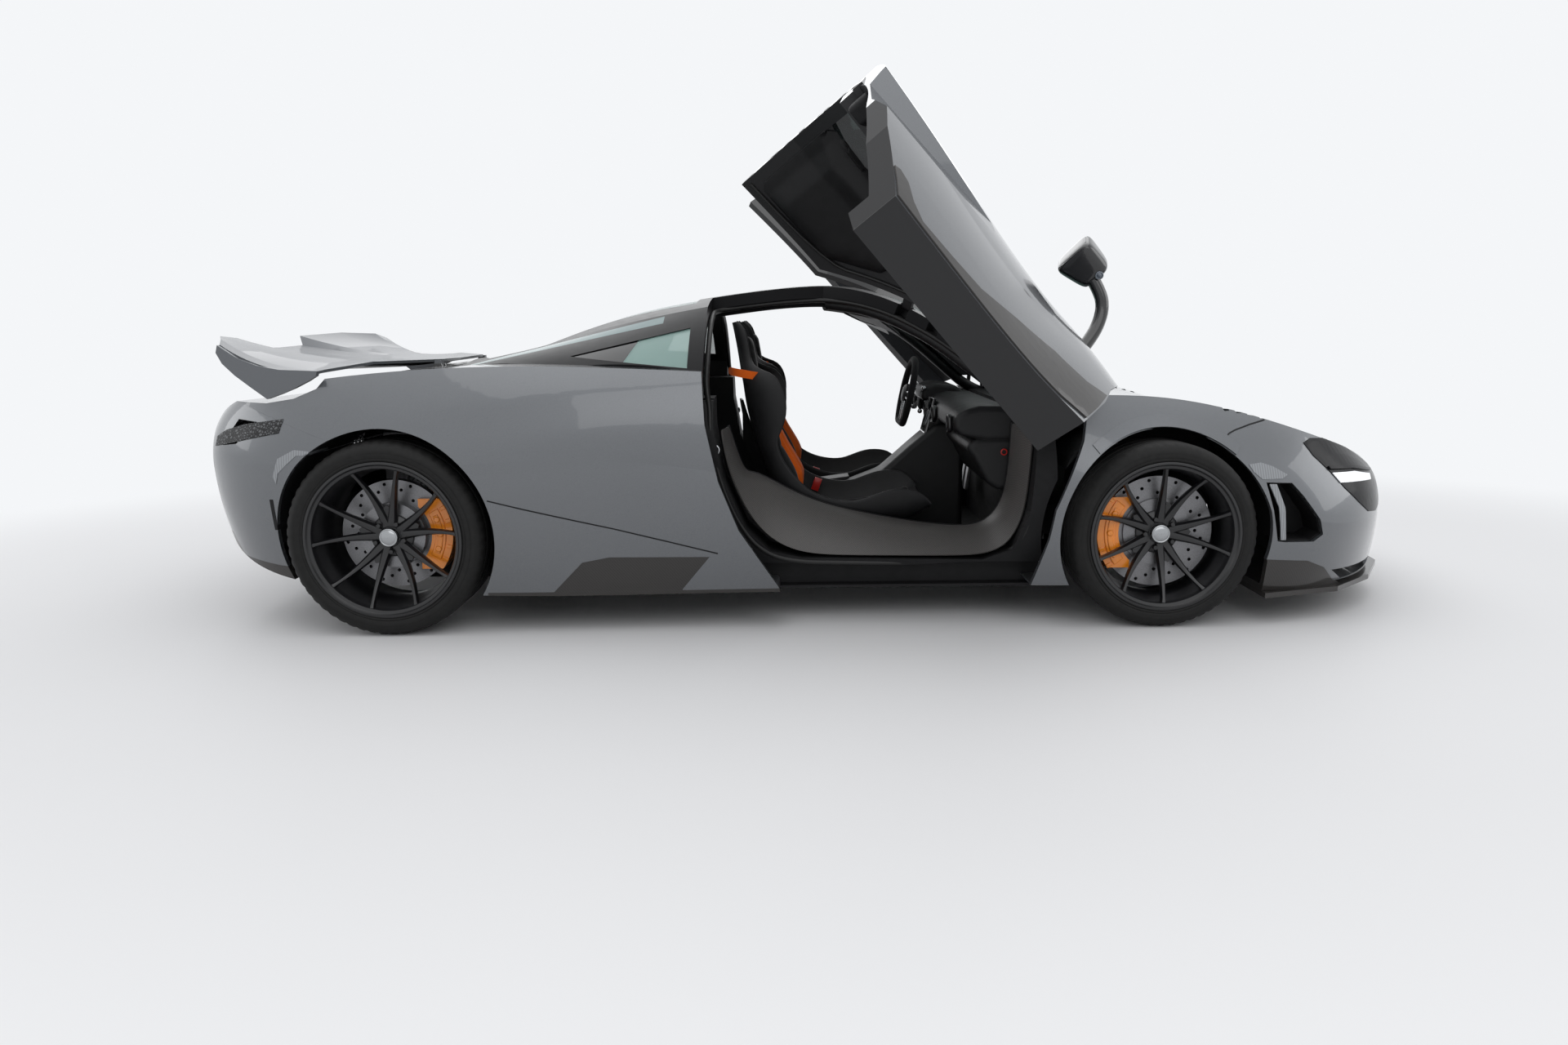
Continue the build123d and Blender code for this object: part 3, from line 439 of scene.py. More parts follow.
def finish_paint(side_name=""):
    p = bpy.context.scene.coupe_body
    f = Finish("metallic_paint" + ("_door_" + side_name if side_name else ""), p.paint, 0.3, 0.55,
            Coat_Weight=1.0, Coat_Roughness=0.03, Coat_IOR=1.5)
    flake = f.cells(2600.0, key="Color")
    tilt = f.add("ShaderNodeSeparateColor", None, [flake]).out(0)
    cloud = f.noise(3.0, 3.0)
    base = Vector(p.paint)
    colour = f.blend(tilt * 0.5 + cloud * 0.25, base * 0.86, base * 1.22)
    rough = tilt * 0.1 + 0.26
    if side_name == "wing":       # black underneath
        under = f.facing((0, 0, 1)) < -0.35
        colour = f.blend(under, colour, (0.008, 0.008, 0.009))
        rough = rough + 0.14
        f.set("Metallic", 0.55 - under * 0.55)
        f.set("Coat Weight", 0.4)
    elif side_name:       # the inside of a door is moulded black
        inside = inner_mask(f, side_name, 0.35, -0.1)
        colour = f.blend(inside, colour, (0.010, 0.010, 0.011))
        rough = rough + inside * 0.28
        f.set("Metallic", 0.55 - inside * 0.55)
        f.set("Coat Weight", 1.0 - inside)
    f.set("Base Color", colour)
    f.set("Roughness", rough)
    f.set("Normal", f.soften(0.0006 if side_name else 0.0022))
    return f.material


def finish_carbon(side_name=""):
    p = bpy.context.scene.coupe_body
    f = Finish("carbon_weave" + ("_door_" + side_name if side_name else ""), p.carbon, 0.34, 0.0,
            Coat_Weight=0.6, Coat_Roughness=0.08, Specular_IOR_Level=0.2)
    warp, crown = weave(f, 0.0026)
    base = Vector(p.carbon)
    colour = f.blend(warp * 0.35 + crown * 0.3 + f.noise(9.0, 3.0) * 0.35, base * 0.72, base * 1.3)
    rough = crown * -0.06 + 0.34
    if side_name:
        inside = inner_mask(f, side_name)
        colour = f.blend(inside, colour, (0.015, 0.016, 0.017))
        rough = rough + inside * 0.2
        f.set("Coat Weight", 0.6 - inside * 0.6)
    f.set("Base Color", colour)
    f.set("Roughness", rough)
    f.set("Normal", f.bump(crown, 0.05, 0.0002, f.soften(0.0018)))
    return f.material


def finish_sill_check():
    """Fine brown-grey check under satin lacquer."""
    f = Finish("sill_check", (0.03, 0.028, 0.027), 0.42, 0.0, Specular_IOR_Level=0.35)
    x, y, z = f.axes()
    a = ((x / 0.0062) % 1.0) < 0.5
    b = (((z + y * 0.4) / 0.0062) % 1.0) < 0.5
    check = abs(a - b)
    f.set("Base Color", f.blend(check, (0.044, 0.042, 0.041), (0.122, 0.116, 0.112)))
    f.set("Roughness", check * 0.1 + 0.38)
    f.set("Normal", f.bump(check, 0.08, 0.0002))
    return f.material


def finish_gloss_black(side_name=""):
    f = Finish("gloss_black" + ("_door_" + side_name if side_name else ""), (0.006, 0.006, 0.007), 0.16, 0.0,
               Coat_Weight=0.6, Coat_Roughness=0.02)
    rough = f.noise(30.0, 3.0) * 0.1 + 0.1
    if side_name in ("left", "right"):       # lacquered outside, bare moulding inside
        inside = inner_mask(f, side_name, 0.75, 0.0)
        rough = rough + inside * 0.4
        f.set("Coat Weight", 0.6 - inside * 0.6)
    f.set("Roughness", rough)
    f.set("Normal", f.soften(0.0018))
    return f.material


def finish_moulded():
    f = Finish("moulded_black", (0.010, 0.010, 0.011), 0.6, Specular_IOR_Level=0.22)
    grain = f.cells(1400.0)
    f.set("Base Color", f.blend(f.noise(12.0, 3.0), (0.006, 0.006, 0.0065), (0.013, 0.013, 0.014)))
    f.set("Roughness", f.noise(40.0) * 0.2 + 0.5)
    f.set("Normal", f.bump(grain, 0.25, 0.0002, f.soften(0.0015)))
    return f.material


def finish_leather():
    f = Finish("cabin_leather", (0.010, 0.010, 0.011), 0.5, Specular_IOR_Level=0.28)
    grain = f.cells(620.0, "DISTANCE_TO_EDGE")
    soft = f.noise(24.0, 4.0)
    f.set("Base Color", f.blend(soft, (0.007, 0.007, 0.0075), (0.014, 0.014, 0.015)))
    f.set("Roughness", soft * 0.16 + 0.36)
    f.set("Normal", f.bump(grain.ramp(0.0, 0.35), 0.35, 0.0004, f.soften(0.003)))
    return f.material


def finish_suede():
    f = Finish("black_suede", (0.012, 0.012, 0.013), 0.92, Sheen_Weight=0.12, Sheen_Roughness=0.5,
               Specular_IOR_Level=0.15)
    nap = f.noise(420.0, 4.0, 0.7)
    shade = f.noise(14.0, 3.0)
    f.set("Base Color", f.blend(nap * 0.5 + shade * 0.5, (0.006, 0.006, 0.0065), (0.020, 0.020, 0.021)))
    f.set("Normal", f.bump(nap, 0.4, 0.0004))
    return f.material


def finish_orange_suede():
    p = bpy.context.scene.coupe_cabin
    f = Finish("orange_suede", p.accent, 0.9, Sheen_Weight=0.1, Sheen_Roughness=0.5, Specular_IOR_Level=0.15)
    nap = f.noise(420.0, 4.0, 0.7)
    base = Vector(p.accent)
    f.set("Base Color", f.blend(nap, base * 0.72, base * 1.2))
    f.set("Normal", f.bump(nap, 0.4, 0.0004))
    return f.material


def finish_glass():
    """Tinted glass with a black printed border on the quarter windows."""
    f = Finish("tinted_glass", (0.36, 0.55, 0.51), 0.02, 0.0)
    x, y, z = f.axes()
    border = (abs(y) > 0.44) * (x < (z - 0.93) * 0.6 - 0.655)
    f.set("Base Color", f.blend(border, (0.36, 0.55, 0.51), (0.008, 0.008, 0.009)))
    f.set("Alpha", 0.46 + border * 0.54)
    f.set("Roughness", f.noise(3.0) * 0.02 + 0.01)
    return f.material


def finish_grille():
    """Fine black mesh whose cells are painted light: pale grey for the white seen through the holes and the glints."""
    f = Finish("tail_grille", (0.01, 0.01, 0.011), 0.4, 0.0, Specular_IOR_Level=0.3)
    # web is 0 on the black mesh and 1 in the cells, which take a painted pale grey for light through the holes and
    # glints
    web = f.cells(95.0, "DISTANCE_TO_EDGE").ramp(0.10, 0.26)
    f.set("Base Color", f.blend(web, (0.006, 0.006, 0.007), (0.11, 0.115, 0.12)))
    f.set("Roughness", web * -0.1 + 0.45)
    f.set("Normal", f.bump(web, 0.6, 0.002))
    return f.material


def finish_canopy():
    """Roof frame: black outside with a pale teal band behind the doors, cloth-covered inside. The band is painted
    glass: the rear glass's tint with a painted reflection of the white studio.
    """
    f = Finish("canopy_black", (0.006, 0.006, 0.007), 0.3, 0.0, Coat_Roughness=0.02, Specular_IOR_Level=0.12)
    x, y, z = f.axes()
    inside = f.facing((0, 0, 1)) < -0.2
    # band where the rear glass shows: its pale teal is the glass tint plus a painted reflection of the white studio
    strip = (z < x * 0.2305 + 1.2057) * (z > x * 0.2034 + 1.1662) * (x < -0.535) * (abs(y) > 0.40)
    black = f.blend(inside, (0.006, 0.006, 0.007), (0.013, 0.013, 0.014))
    f.set("Base Color", f.blend(strip, black, (0.16, 0.23, 0.235)))
    f.set("Roughness", f.noise(30.0, 3.0) * 0.1 + 0.26 + inside * 0.5 - strip * 0.2)
    f.set("Normal", f.soften(0.0018))
    return f.material


def finish_knuckle():
    """Wheel carrier in bare alloy with a lacquered caliper on its outer part."""
    p = bpy.context.scene.coupe_wheels
    f = Finish("carrier_and_caliper", p.caliper, 0.3, 0.0, Coat_Weight=0.7, Coat_Roughness=0.08)
    x, y, z = f.axes()
    masks = []
    for a in AXLES.values():
        near = abs(x - a["x"]) < 0.3
        off_x, off_z = x - a["x"], z - a["z"]
        far = (off_x * off_x + off_z * off_z) > 0.0132
        masks.append(near * far * (abs(y) > a["y"] - 0.0525))
    lacquer = masks[0] + masks[1]
    base = Vector(p.caliper)
    f.set("Base Color", f.blend(lacquer, f.blend(f.noise(40.0, 4.0), (0.16, 0.16, 0.17), (0.3, 0.3, 0.31)),
            f.blend(f.noise(30.0, 4.0), base * 0.85, base * 1.1)))
    f.set("Metallic", 0.8 - lacquer * 0.8)
    f.set("Coat Weight", lacquer * 0.7)
    f.set("Roughness", 0.48 - lacquer * 0.16)
    f.set("Normal", f.bump(f.noise(300.0, 3.0), 0.1, 0.0004, f.soften(0.002)))
    return f.material


def finish_caliper():
    p = bpy.context.scene.coupe_wheels
    f = Finish("caliper_lacquer", p.caliper, 0.3, 0.0, Coat_Weight=0.7, Coat_Roughness=0.08)
    base = Vector(p.caliper)
    f.set("Base Color", f.blend(f.noise(30.0, 4.0), base * 0.85, base * 1.1))
    f.set("Normal", f.bump(f.noise(300.0, 3.0), 0.1, 0.0004, f.soften(0.002)))
    return f.material


def finish_exhaust():
    f = Finish("tinted_titanium", (0.4, 0.36, 0.32), 0.28, 1.0)
    x = f.axes()[0]
    f.set("Base Color", f.blend(x.ramp(-2.14, -2.02), (0.30, 0.27, 0.36), (0.48, 0.40, 0.30)))
    f.set("Roughness", f.noise(120.0) * 0.15 + 0.2)
    return f.material


def finish_red_lens():
    f = Finish("red_lens", (0.32, 0.008, 0.008), 0.12, 0.0, Coat_Weight=1.0, Coat_Roughness=0.02)
    y = f.axes()[1]
    rib = ((y * 240.0).sin() * 0.5 + 0.5)
    f.set("Base Color", f.blend(rib, (0.22, 0.004, 0.004), (0.5, 0.02, 0.015)))
    f.set("Normal", f.bump(rib, 0.2, 0.0005))
    return f.material


def finish_smoked_lens():
    f = Finish("smoked_lens", (0.22, 0.23, 0.25), 0.1, 0.0, Coat_Weight=1.0, Coat_Roughness=0.02)
    x = f.axes()[0]
    rib = ((x * 700.0).sin() * 0.5 + 0.5)
    f.set("Base Color", f.blend(rib, (0.19, 0.20, 0.215), (0.27, 0.285, 0.30)))
    return f.material


def finish_light_bar():
    f = Finish("light_bar", (0.92, 0.93, 0.95), 0.2, 0.0, Coat_Weight=1.0)
    x = f.axes()[0]
    rib = ((x * 900.0).sin() * 0.5 + 0.5)
    f.set("Base Color", f.blend(rib, (0.75, 0.77, 0.8), (0.98, 0.98, 0.98)))
    f.set("Emission Strength", 0.35)
    f.set("Emission Color", (0.95, 0.97, 1.0, 1.0))
    return f.material


def finish_webbing():
    f = Finish("belt_webbing", (0.02, 0.02, 0.022), 0.8)
    x, _, z = f.axes()
    rib = ((z * 2400.0 + x * 1400.0).sin() * 0.5 + 0.5)
    f.set("Base Color", f.blend(rib, (0.010, 0.010, 0.011), (0.035, 0.035, 0.038)))
    f.set("Normal", f.bump(rib, 0.4, 0.0003))
    return f.material


# CAD node name start -> finish; the first that fits is used
NODE_FINISH = [
    ("door_glass", "door_glass"), ("door_roof_left", "gloss_black:left"),
               ("door_roof_right", "gloss_black:right"),
    ("door_blade_left", "paint:left"), ("door_blade_right", "paint:right"), ("door_left", "paint:left"),
    ("door_right", "paint:right"), ("mirror", "gloss_black"), ("windscreen", "glass"),
               ("rear_glass", "glass"),
    ("canopy_frame", "canopy"),
    ("front_bumper", "paint"), ("front_fenders", "paint"), ("bonnet", "paint"), ("rear_quarters", "paint"),
    ("rear_bumper", "paint"), ("rear_wing", "paint:wing"), ("engine_cover", "carbon"), ("splitter", "carbon"),
    ("side_skirts", "carbon"), ("diffuser", "carbon"), ("sill_covers", "carbon"),
               ("headlamps", "gloss_black"),
    ("front_ducts", "moulded"), ("tail_mesh", "moulded"), ("tail_lamps", "red_lens"), ("exhausts", "exhaust"),
    ("luggage_tub", "moulded"), ("underfloor", "moulded"), ("engine", "cast"), ("front_suspension", "forged"),
    ("rear_suspension", "forged"), ("rear_uprights", "knuckle"), ("knuckle", "knuckle"),
               ("wheel_liners", "moulded"),
    ("seat_shells", "leather"), ("seat_pads", "suede"), ("dashboard", "leather"), ("steering_wheel", "suede"),
    ("wing_base", "gloss_black"), ("tub", "moulded"), ("tyre", "rubber"), ("rim", "satin_black"),
               ("disc", "disc"),
]


# ---------------------------------------------------------------- helpers for pieces
def settle(obj):
    """Puts an object's place into its mesh and deselects."""
    obj.data.transform(obj.matrix_basis)
    obj.matrix_basis = Matrix.Identity(4)
    obj.select_set(False)
    return obj


def pick(obj):
    """Makes obj the only selected object."""
    bpy.ops.object.select_all(action="DESELECT")
    bpy.context.view_layer.objects.active = obj
    obj.select_set(True)


def apply_modifiers(obj):
    pick(obj)
    for m in list(obj.modifiers):
        bpy.ops.object.modifier_apply(modifier=m.name)
    obj.select_set(False)


def wear(obj, body, finish_name, slot=None, hides=()):
    """Gives a piece its finish, the body it moves with and the nodes it stands for."""
    obj.data.materials.clear()
    obj.data.materials.append(finish(finish_name))
    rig.ride(obj, body)
    if slot:
        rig.slot(obj, slot)
    if hides:
        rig.replaces(obj, *hides)
    return obj


# ---------------------------------------------------------------- shaping helpers
def mesh_object(name, verts, faces, edges=()):
    mesh = bpy.data.meshes.new(name)
    mesh.from_pydata([tuple(v) for v in verts], list(edges), [tuple(f) for f in faces])
    mesh.update()
    obj = bpy.data.objects.new(name, mesh)
    bpy.context.scene.collection.objects.link(obj)
    return obj


def editing(obj):
    """Opens obj in edit mode with all of it selected."""
    pick(obj)
    bpy.ops.object.mode_set(mode="EDIT")
    bpy.ops.mesh.select_all(action="SELECT")


def done(obj, smooth=35.0):
    """Closes edit mode, shades by angle and deselects."""
    if bpy.context.mode != "OBJECT":
        bpy.ops.object.mode_set(mode="OBJECT")
    pick(obj)
    if smooth:
        bpy.ops.object.shade_smooth_by_angle(angle=math.radians(smooth))
    obj.select_set(False)
    return obj


def tidy_normals(obj):
    """Merges doubled points and turns the faces outwards."""
    editing(obj)
    bpy.ops.mesh.remove_doubles(threshold=1e-5)
    bpy.ops.mesh.normals_make_consistent(inside=False)
    bpy.ops.object.mode_set(mode="OBJECT")
    return obj


def lathe(name, profile, centre, steps=96, smooth=30.0):
    """Closed (radius, y) profile spun about the Y axis through centre."""
    cx, cy, cz = centre
    verts = [(cx, cy + y, cz + r) for r, y in profile]
    n = len(verts)
    obj = mesh_object(name, verts, [], [(i, (i + 1) % n) for i in range(n)])
    editing(obj)
    bpy.ops.mesh.spin(steps=steps, angle=2 * math.pi, center=centre, axis=(0, 1, 0), use_auto_merge=True)
    bpy.ops.object.mode_set(mode="OBJECT")
    tidy_normals(obj)
    return done(obj, smooth)


def slab(name, outline, depth, smooth=30.0):
    """Solid whose one face is the outline (3-D points in a plane), pushed along depth."""
    obj = mesh_object(name, outline, [range(len(outline))])
    editing(obj)
    bpy.ops.mesh.extrude_region_move(TRANSFORM_OT_translate={"value": tuple(depth)})
    bpy.ops.mesh.select_all(action="SELECT")
    bpy.ops.mesh.normals_make_consistent(inside=False)
    bpy.ops.object.mode_set(mode="OBJECT")
    return done(obj, smooth)


def round_edges(obj, width, segments=2, angle=30.0):
    m = obj.modifiers.new("edges", "BEVEL")
    m.width, m.segments, m.limit_method, m.angle_limit = width, segments, "ANGLE", math.radians(angle)
    apply_modifiers(obj)
    return obj


def swell(obj, levels):
    m = obj.modifiers.new("round", "SUBSURF")
    m.levels = m.render_levels = levels
    apply_modifiers(obj)
    return obj


def thicken(obj, depth, smooth):
    """Gives an open skin a wall, half to each side, and finishes it."""
    m = obj.modifiers.new("wall", "SOLIDIFY")
    m.thickness, m.offset = depth, 0.0
    apply_modifiers(obj)
    return done(tidy_normals(obj), smooth)


def sheet(name, rows):
    """Open skin through rows of points, all of one length."""
    n = len(rows[0])
    return mesh_object(name, [p for row in rows for p in row],
                       [(n * i + j, n * i + j + 1, n * (i + 1) + j + 1, n * (i + 1) + j)
                        for i in range(len(rows) - 1) for j in range(n - 1)])


def primitive(kind, scale=(1, 1, 1), **more):
    """One of bpy.ops.mesh's primitives with its place and scale put into its mesh."""
    bpy.ops.object.select_all(action="DESELECT")
    getattr(bpy.ops.mesh, "primitive_%s_add" % kind)(**more)
    bpy.context.object.scale = scale
    return settle(bpy.context.object)


def put(obj, at, degrees, axis="Z"):
    """Turns a piece about an axis through the origin and then moves it."""
    obj.data.transform(Matrix.Translation(at) @ Matrix.Rotation(math.radians(degrees), 4, axis))
    return obj


def tube(name, points, radius, closed=False, resolution=4, rings=3):
    """Round bar along smooth points."""
    curve = bpy.data.curves.new(name, "CURVE")
    curve.dimensions = "3D"
    curve.bevel_depth, curve.bevel_resolution, curve.resolution_u = radius, rings, resolution
    curve.use_fill_caps = True
    line = curve.splines.new("NURBS")
    line.points.add(len(points) - 1)
    for p, q in zip(line.points, points):
        p.co = (*q, 1.0)
    line.order_u, line.use_endpoint_u, line.use_cyclic_u = 3, not closed, closed
    obj = bpy.data.objects.new(name, curve)
    bpy.context.scene.collection.objects.link(obj)
    pick(obj)
    bpy.ops.object.convert(target="MESH")
    obj = bpy.context.object
    obj.name = name
    tidy_normals(obj)
    return done(obj, 60)


def strap(name, points, wide, width):
    """Flat webbing through points; wide is the direction across it at each point."""
    rows = []
    for p, w in zip(points, wide):
        p, w = Vector(p), Vector(w).normalized() * width / 2
        rows.append([p - w, p, p + w])
    return thicken(swell(sheet(name, rows), 2), 0.0022, 40)


def joined(name, parts):
    bpy.ops.object.select_all(action="DESELECT")
    for p in parts:
        p.select_set(True)
    bpy.context.view_layer.objects.active = parts[0]
    bpy.ops.object.join()
    obj = bpy.context.object
    obj.name = name
    obj.select_set(False)
    return obj


def other_side(obj, name):
    """Mirror copy over the car's middle plane."""
    copy = obj.copy()
    copy.data = obj.data.copy()
    copy.name = name
    copy.parent = None
    for key in list(copy.keys()):
        if key.startswith("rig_"):
            del copy[key]
    bpy.context.scene.collection.objects.link(copy)
    copy.data.transform(Matrix.Diagonal((1, -1, 1, 1)))
    copy.data.flip_normals()
    return copy


def right(name):
    """The name of the same thing on the right side."""
    return name.replace("left", "right")


def pair(piece, body, kind, slot=None, hides=()):
    """Dresses a piece of the left side and its mirrored twin, and returns both."""
    twin = other_side(piece, right(piece.name))
    wear(piece, body, kind, slot, hides)
    wear(twin, right(body), kind, slot, [right(h) for h in hides if "left" in h])
    return piece, twin


def surface(*names, move=Matrix.Identity(4)):
    """A tree of the named solids' surfaces, for finding where a line meets them."""
    verts, faces = [], []
    for name in names:
        mesh = NODES[name].data
        start = len(verts)
        verts += [move @ v.co for v in mesh.vertices]
        faces += [[start + i for i in p.vertices] for p in mesh.polygons]
    return BVHTree.FromPolygons(verts, faces)


def meet(tree, origin, direction):
    """Where a line first meets the surface, or None."""
    return tree.ray_cast(Vector(origin), Vector(direction).normalized())[0]


def from_left(tree, x, z):
    """Where a line from far out on the left first meets the surface, or None."""
    return meet(tree, (x, FAR, z), (0, -1, 0))


def subdivided(name, points, times):
    """The flat outline through points, cut in triangles and halved so many times."""
    flat = mesh_object(name, points, [range(len(points))])
    editing(flat)
    bpy.ops.mesh.quads_convert_to_tris()
    for _ in range(times):
        bpy.ops.mesh.subdivide(number_cuts=1)
    bpy.ops.object.mode_set(mode="OBJECT")
    return flat


def patch(name, outline, tree, depth, cell=0.02, bevel=0.0):
    """Skin of an outline (x, z) laid on the left side of the body, so thick and with cells about so wide."""
    span = max(max(a for a, b in outline) - min(a for a, b in outline),
               max(b for a, b in outline) - min(b for a, b in outline))
    flat = subdivided(name, [(a, 0, b) for a, b in outline],
                      max(2, min(7, int(math.log2(max(span / cell, 2))) + 1)))
    for v in flat.data.vertices:
        v.co = from_left(tree, v.co.x, v.co.z) or Vector((v.co.x, 0.8, v.co.z))
    thicken(flat, depth, 0)
    if bevel:
        round_edges(flat, bevel, 2, 50)
    return done(flat, 50)


# ---------------------------------------------------------------- sizes and colours
class CoupeBody(bpy.types.PropertyGroup):
    paint: bpy.props.FloatVectorProperty(name="Paint", description="Body colour under the lacquer",
                                         subtype="COLOR", size=3, default=(0.125, 0.132, 0.142))
    carbon: bpy.props.FloatVectorProperty(name="Carbon", description="Middle tone of the carbon weave",
                                          subtype="COLOR", size=3, default=(0.030, 0.0275, 0.026))


class CoupeWheels(bpy.types.PropertyGroup):
    caliper: bpy.props.FloatVectorProperty(name="Calipers", description="Colour of the brake calipers",
                                           subtype="COLOR", size=3, default=(1.0, 0.30, 0.012))


class CoupeCabin(bpy.types.PropertyGroup):
    accent: bpy.props.FloatVectorProperty(name="Accent", description="Colour of the seat centres",
                                          subtype="COLOR", size=3, default=(0.80, 0.135, 0.012))


class CoupeStudio(bpy.types.PropertyGroup):
    lens: bpy.props.FloatProperty(name="Lens", description="Focal length of the camera", default=25.466)
    floor: bpy.props.FloatVectorProperty(name="Floor", description="Colour of the studio floor",
                                         subtype="COLOR", size=3, default=(0.80, 0.80, 0.81))


class COUPE_OT_finishes(bpy.types.Operator):
    """Give each solid of the frame its finish"""
    bl_idname = "coupe.finishes"
    bl_label = "Finishes"

    def execute(self, context):
        for name, node in NODES.items():
            kind = next(f for start, f in NODE_FINISH if name.startswith(start))
            node.data.materials.clear()
            node.data.materials.append(finish(kind))
        return {"FINISHED"}


def taut(names, low, high):
    """Tree of a skin stretched over the named solids inside a box, which closes the openings in them."""
    low, high = Vector(low), Vector(high)
    verts = [v.co for n in names for v in NODES[n].data.vertices
             if all(low[i] < v.co[i] < high[i] for i in range(3))]
    obj = mesh_object("stretched", verts, [])
    editing(obj)
    bpy.ops.mesh.convex_hull()
    bpy.ops.object.mode_set(mode="OBJECT")
    tree = BVHTree.FromPolygons([v.co.copy() for v in obj.data.vertices],
                                [list(p.vertices) for p in obj.data.polygons])
    bpy.data.objects.remove(obj)
    return tree


# ---------------------------------------------------------------- wheels
# degrees from the top to the middle of the first pair of spokes
FIRST_SPOKE = {"front": 16.5, "rear": -4.0}


def tread_profile(r, half, lip):
    """Closed (radius, y) outline of a low tyre, wall to wall, with its grooves."""
    bead = lip - 0.016
    wall = [(bead, half - 0.016), (lip, half - 0.006), (lip + 0.004, half - 0.0025),
            (lip + 0.009, half - 0.001), (lip + 0.012, half - 0.0035), (lip + 0.016, half - 0.0015),
            (lip + 0.030, half - 0.0002), (r - 0.046, half - 0.0005), (r - 0.040, half - 0.0022),
            (r - 0.034, half - 0.0012), (r - 0.024, half - 0.005), (r - 0.014, half - 0.012),
            (r - 0.007, half - 0.020)]
    grooves = [half * k for k in (-0.62, -0.24, 0.16, 0.56)]
    tread = [(r - 0.0035, half - 0.028), (r - 0.001, half - 0.042)]
    w = 0.0055       # half width of a groove
    for g in reversed(grooves):
        tread += [(r, g + w + 0.0015), (r - 0.001, g + w), (r - 0.007, g + w - 0.001),
                (r - 0.007, g - w + 0.001), (r - 0.001, g - w), (r, g - w - 0.0015)]
    left = [(a, -b) for a, b in reversed(wall)]
    return wall + tread + [(r - 0.001, -half + 0.042), (r - 0.0035, -half + 0.028)] + left


class COUPE_OT_tyres(bpy.types.Operator):
    """Tyres with grooved tread, cut shoulders and ribbed walls"""
    bl_idname = "coupe.tyres"
    bl_label = "Tyres"

    def execute(self, context):
        # shoulder cuts: how many round the tyre, their share of the pitch, depth and slant
        cuts, share, deep, slant = 56, 0.2, 0.0035, 0.22
        for end, a in AXLES.items():
            tyre = lathe("tyre_new_" + end + "_left", tread_profile(a["r"], a["half"], a["lip"]),
                         (a["x"], a["y"], a["z"]), 168, 40)
            for v in tyre.data.vertices:
                dx, dz = v.co.x - a["x"], v.co.z - a["z"]
                r, y = math.hypot(dx, dz), v.co.y - a["y"]
                turn = math.atan2(dx, dz) + 0.5 * abs(y) / a["half"] * slant
                k = turn / (2 * math.pi) * cuts % 1.0
                if r > a["r"] - 0.010 and abs(y) > a["half"] * 0.66 and k < share:
                    s = 1 - deep / r
                    v.co.x, v.co.z = a["x"] + dx * s, a["z"] + dz * s
            pair(tyre, "wheel_" + end + "_left", "rubber", "tyre", ["tyre_" + end + "_left"])
        return {"FINISHED"}


def hub_face(end):
    """Y of the hub's outer face on the left wheel of that axle."""
    a = AXLES[end]
    at = meet(surface("rim_" + end + "_left"), (a["x"] + 0.045, a["y"] + 0.4, a["z"]), (0, -1, 0))
    return at.y if at else a["y"]


class COUPE_OT_hubs(bpy.types.Operator):
    """Silver centre caps and wheel bolts"""
    bl_idname = "coupe.hubs"
    bl_label = "Hubs and bolts"

    def execute(self, context):
        for end, a in AXLES.items():
            face = hub_face(end)
            cap = lathe("hub_cap_" + end + "_left", [(0.0005, 0.017), (0.014, 0.0165), (0.023, 0.0145),
                    (0.0262, 0.0125), (0.0285, 0.0135), (0.031, 0.0125), (0.032, 0.009), (0.032, -0.01),
                    (0.0005, -0.01)], (a["x"], face, a["z"]), 48)
            bolts = []
            for k in range(5):
                turn = math.radians(FIRST_SPOKE[end] + 36 + 72 * k)
                x, z = a["x"] + 0.052 * math.sin(turn), a["z"] + 0.052 * math.cos(turn)
                bolt = primitive("cylinder", vertices=6, radius=0.0085, depth=0.016,
                        location=(x, face + 0.001, z), rotation=(math.pi / 2, 0, 0))
                bolts.append(round_edges(bolt, 0.0016, 2))
            bolts = joined("wheel_bolts_" + end + "_left", bolts)
            pair(cap, "wheel_" + end + "_left", "silver", "disc_steel")
            pair(bolts, "wheel_" + end + "_left", "satin_black", "wheel_black")
        return {"FINISHED"}


# ---------------------------------------------------------------- doors
def hang(piece, kind, slot, hides=()):
    """Fits a piece made on the closed left door, and its mirrored twin, to the open doors."""
    piece.data.transform(door_turn("left"))
    return pair(piece, "door_body_left", kind, slot, hides)


def closed_surface(*names):
    """The left door's solids put back to the closed place, for laying trim on them."""
    return surface(*names, move=door_turn("left").inverted())


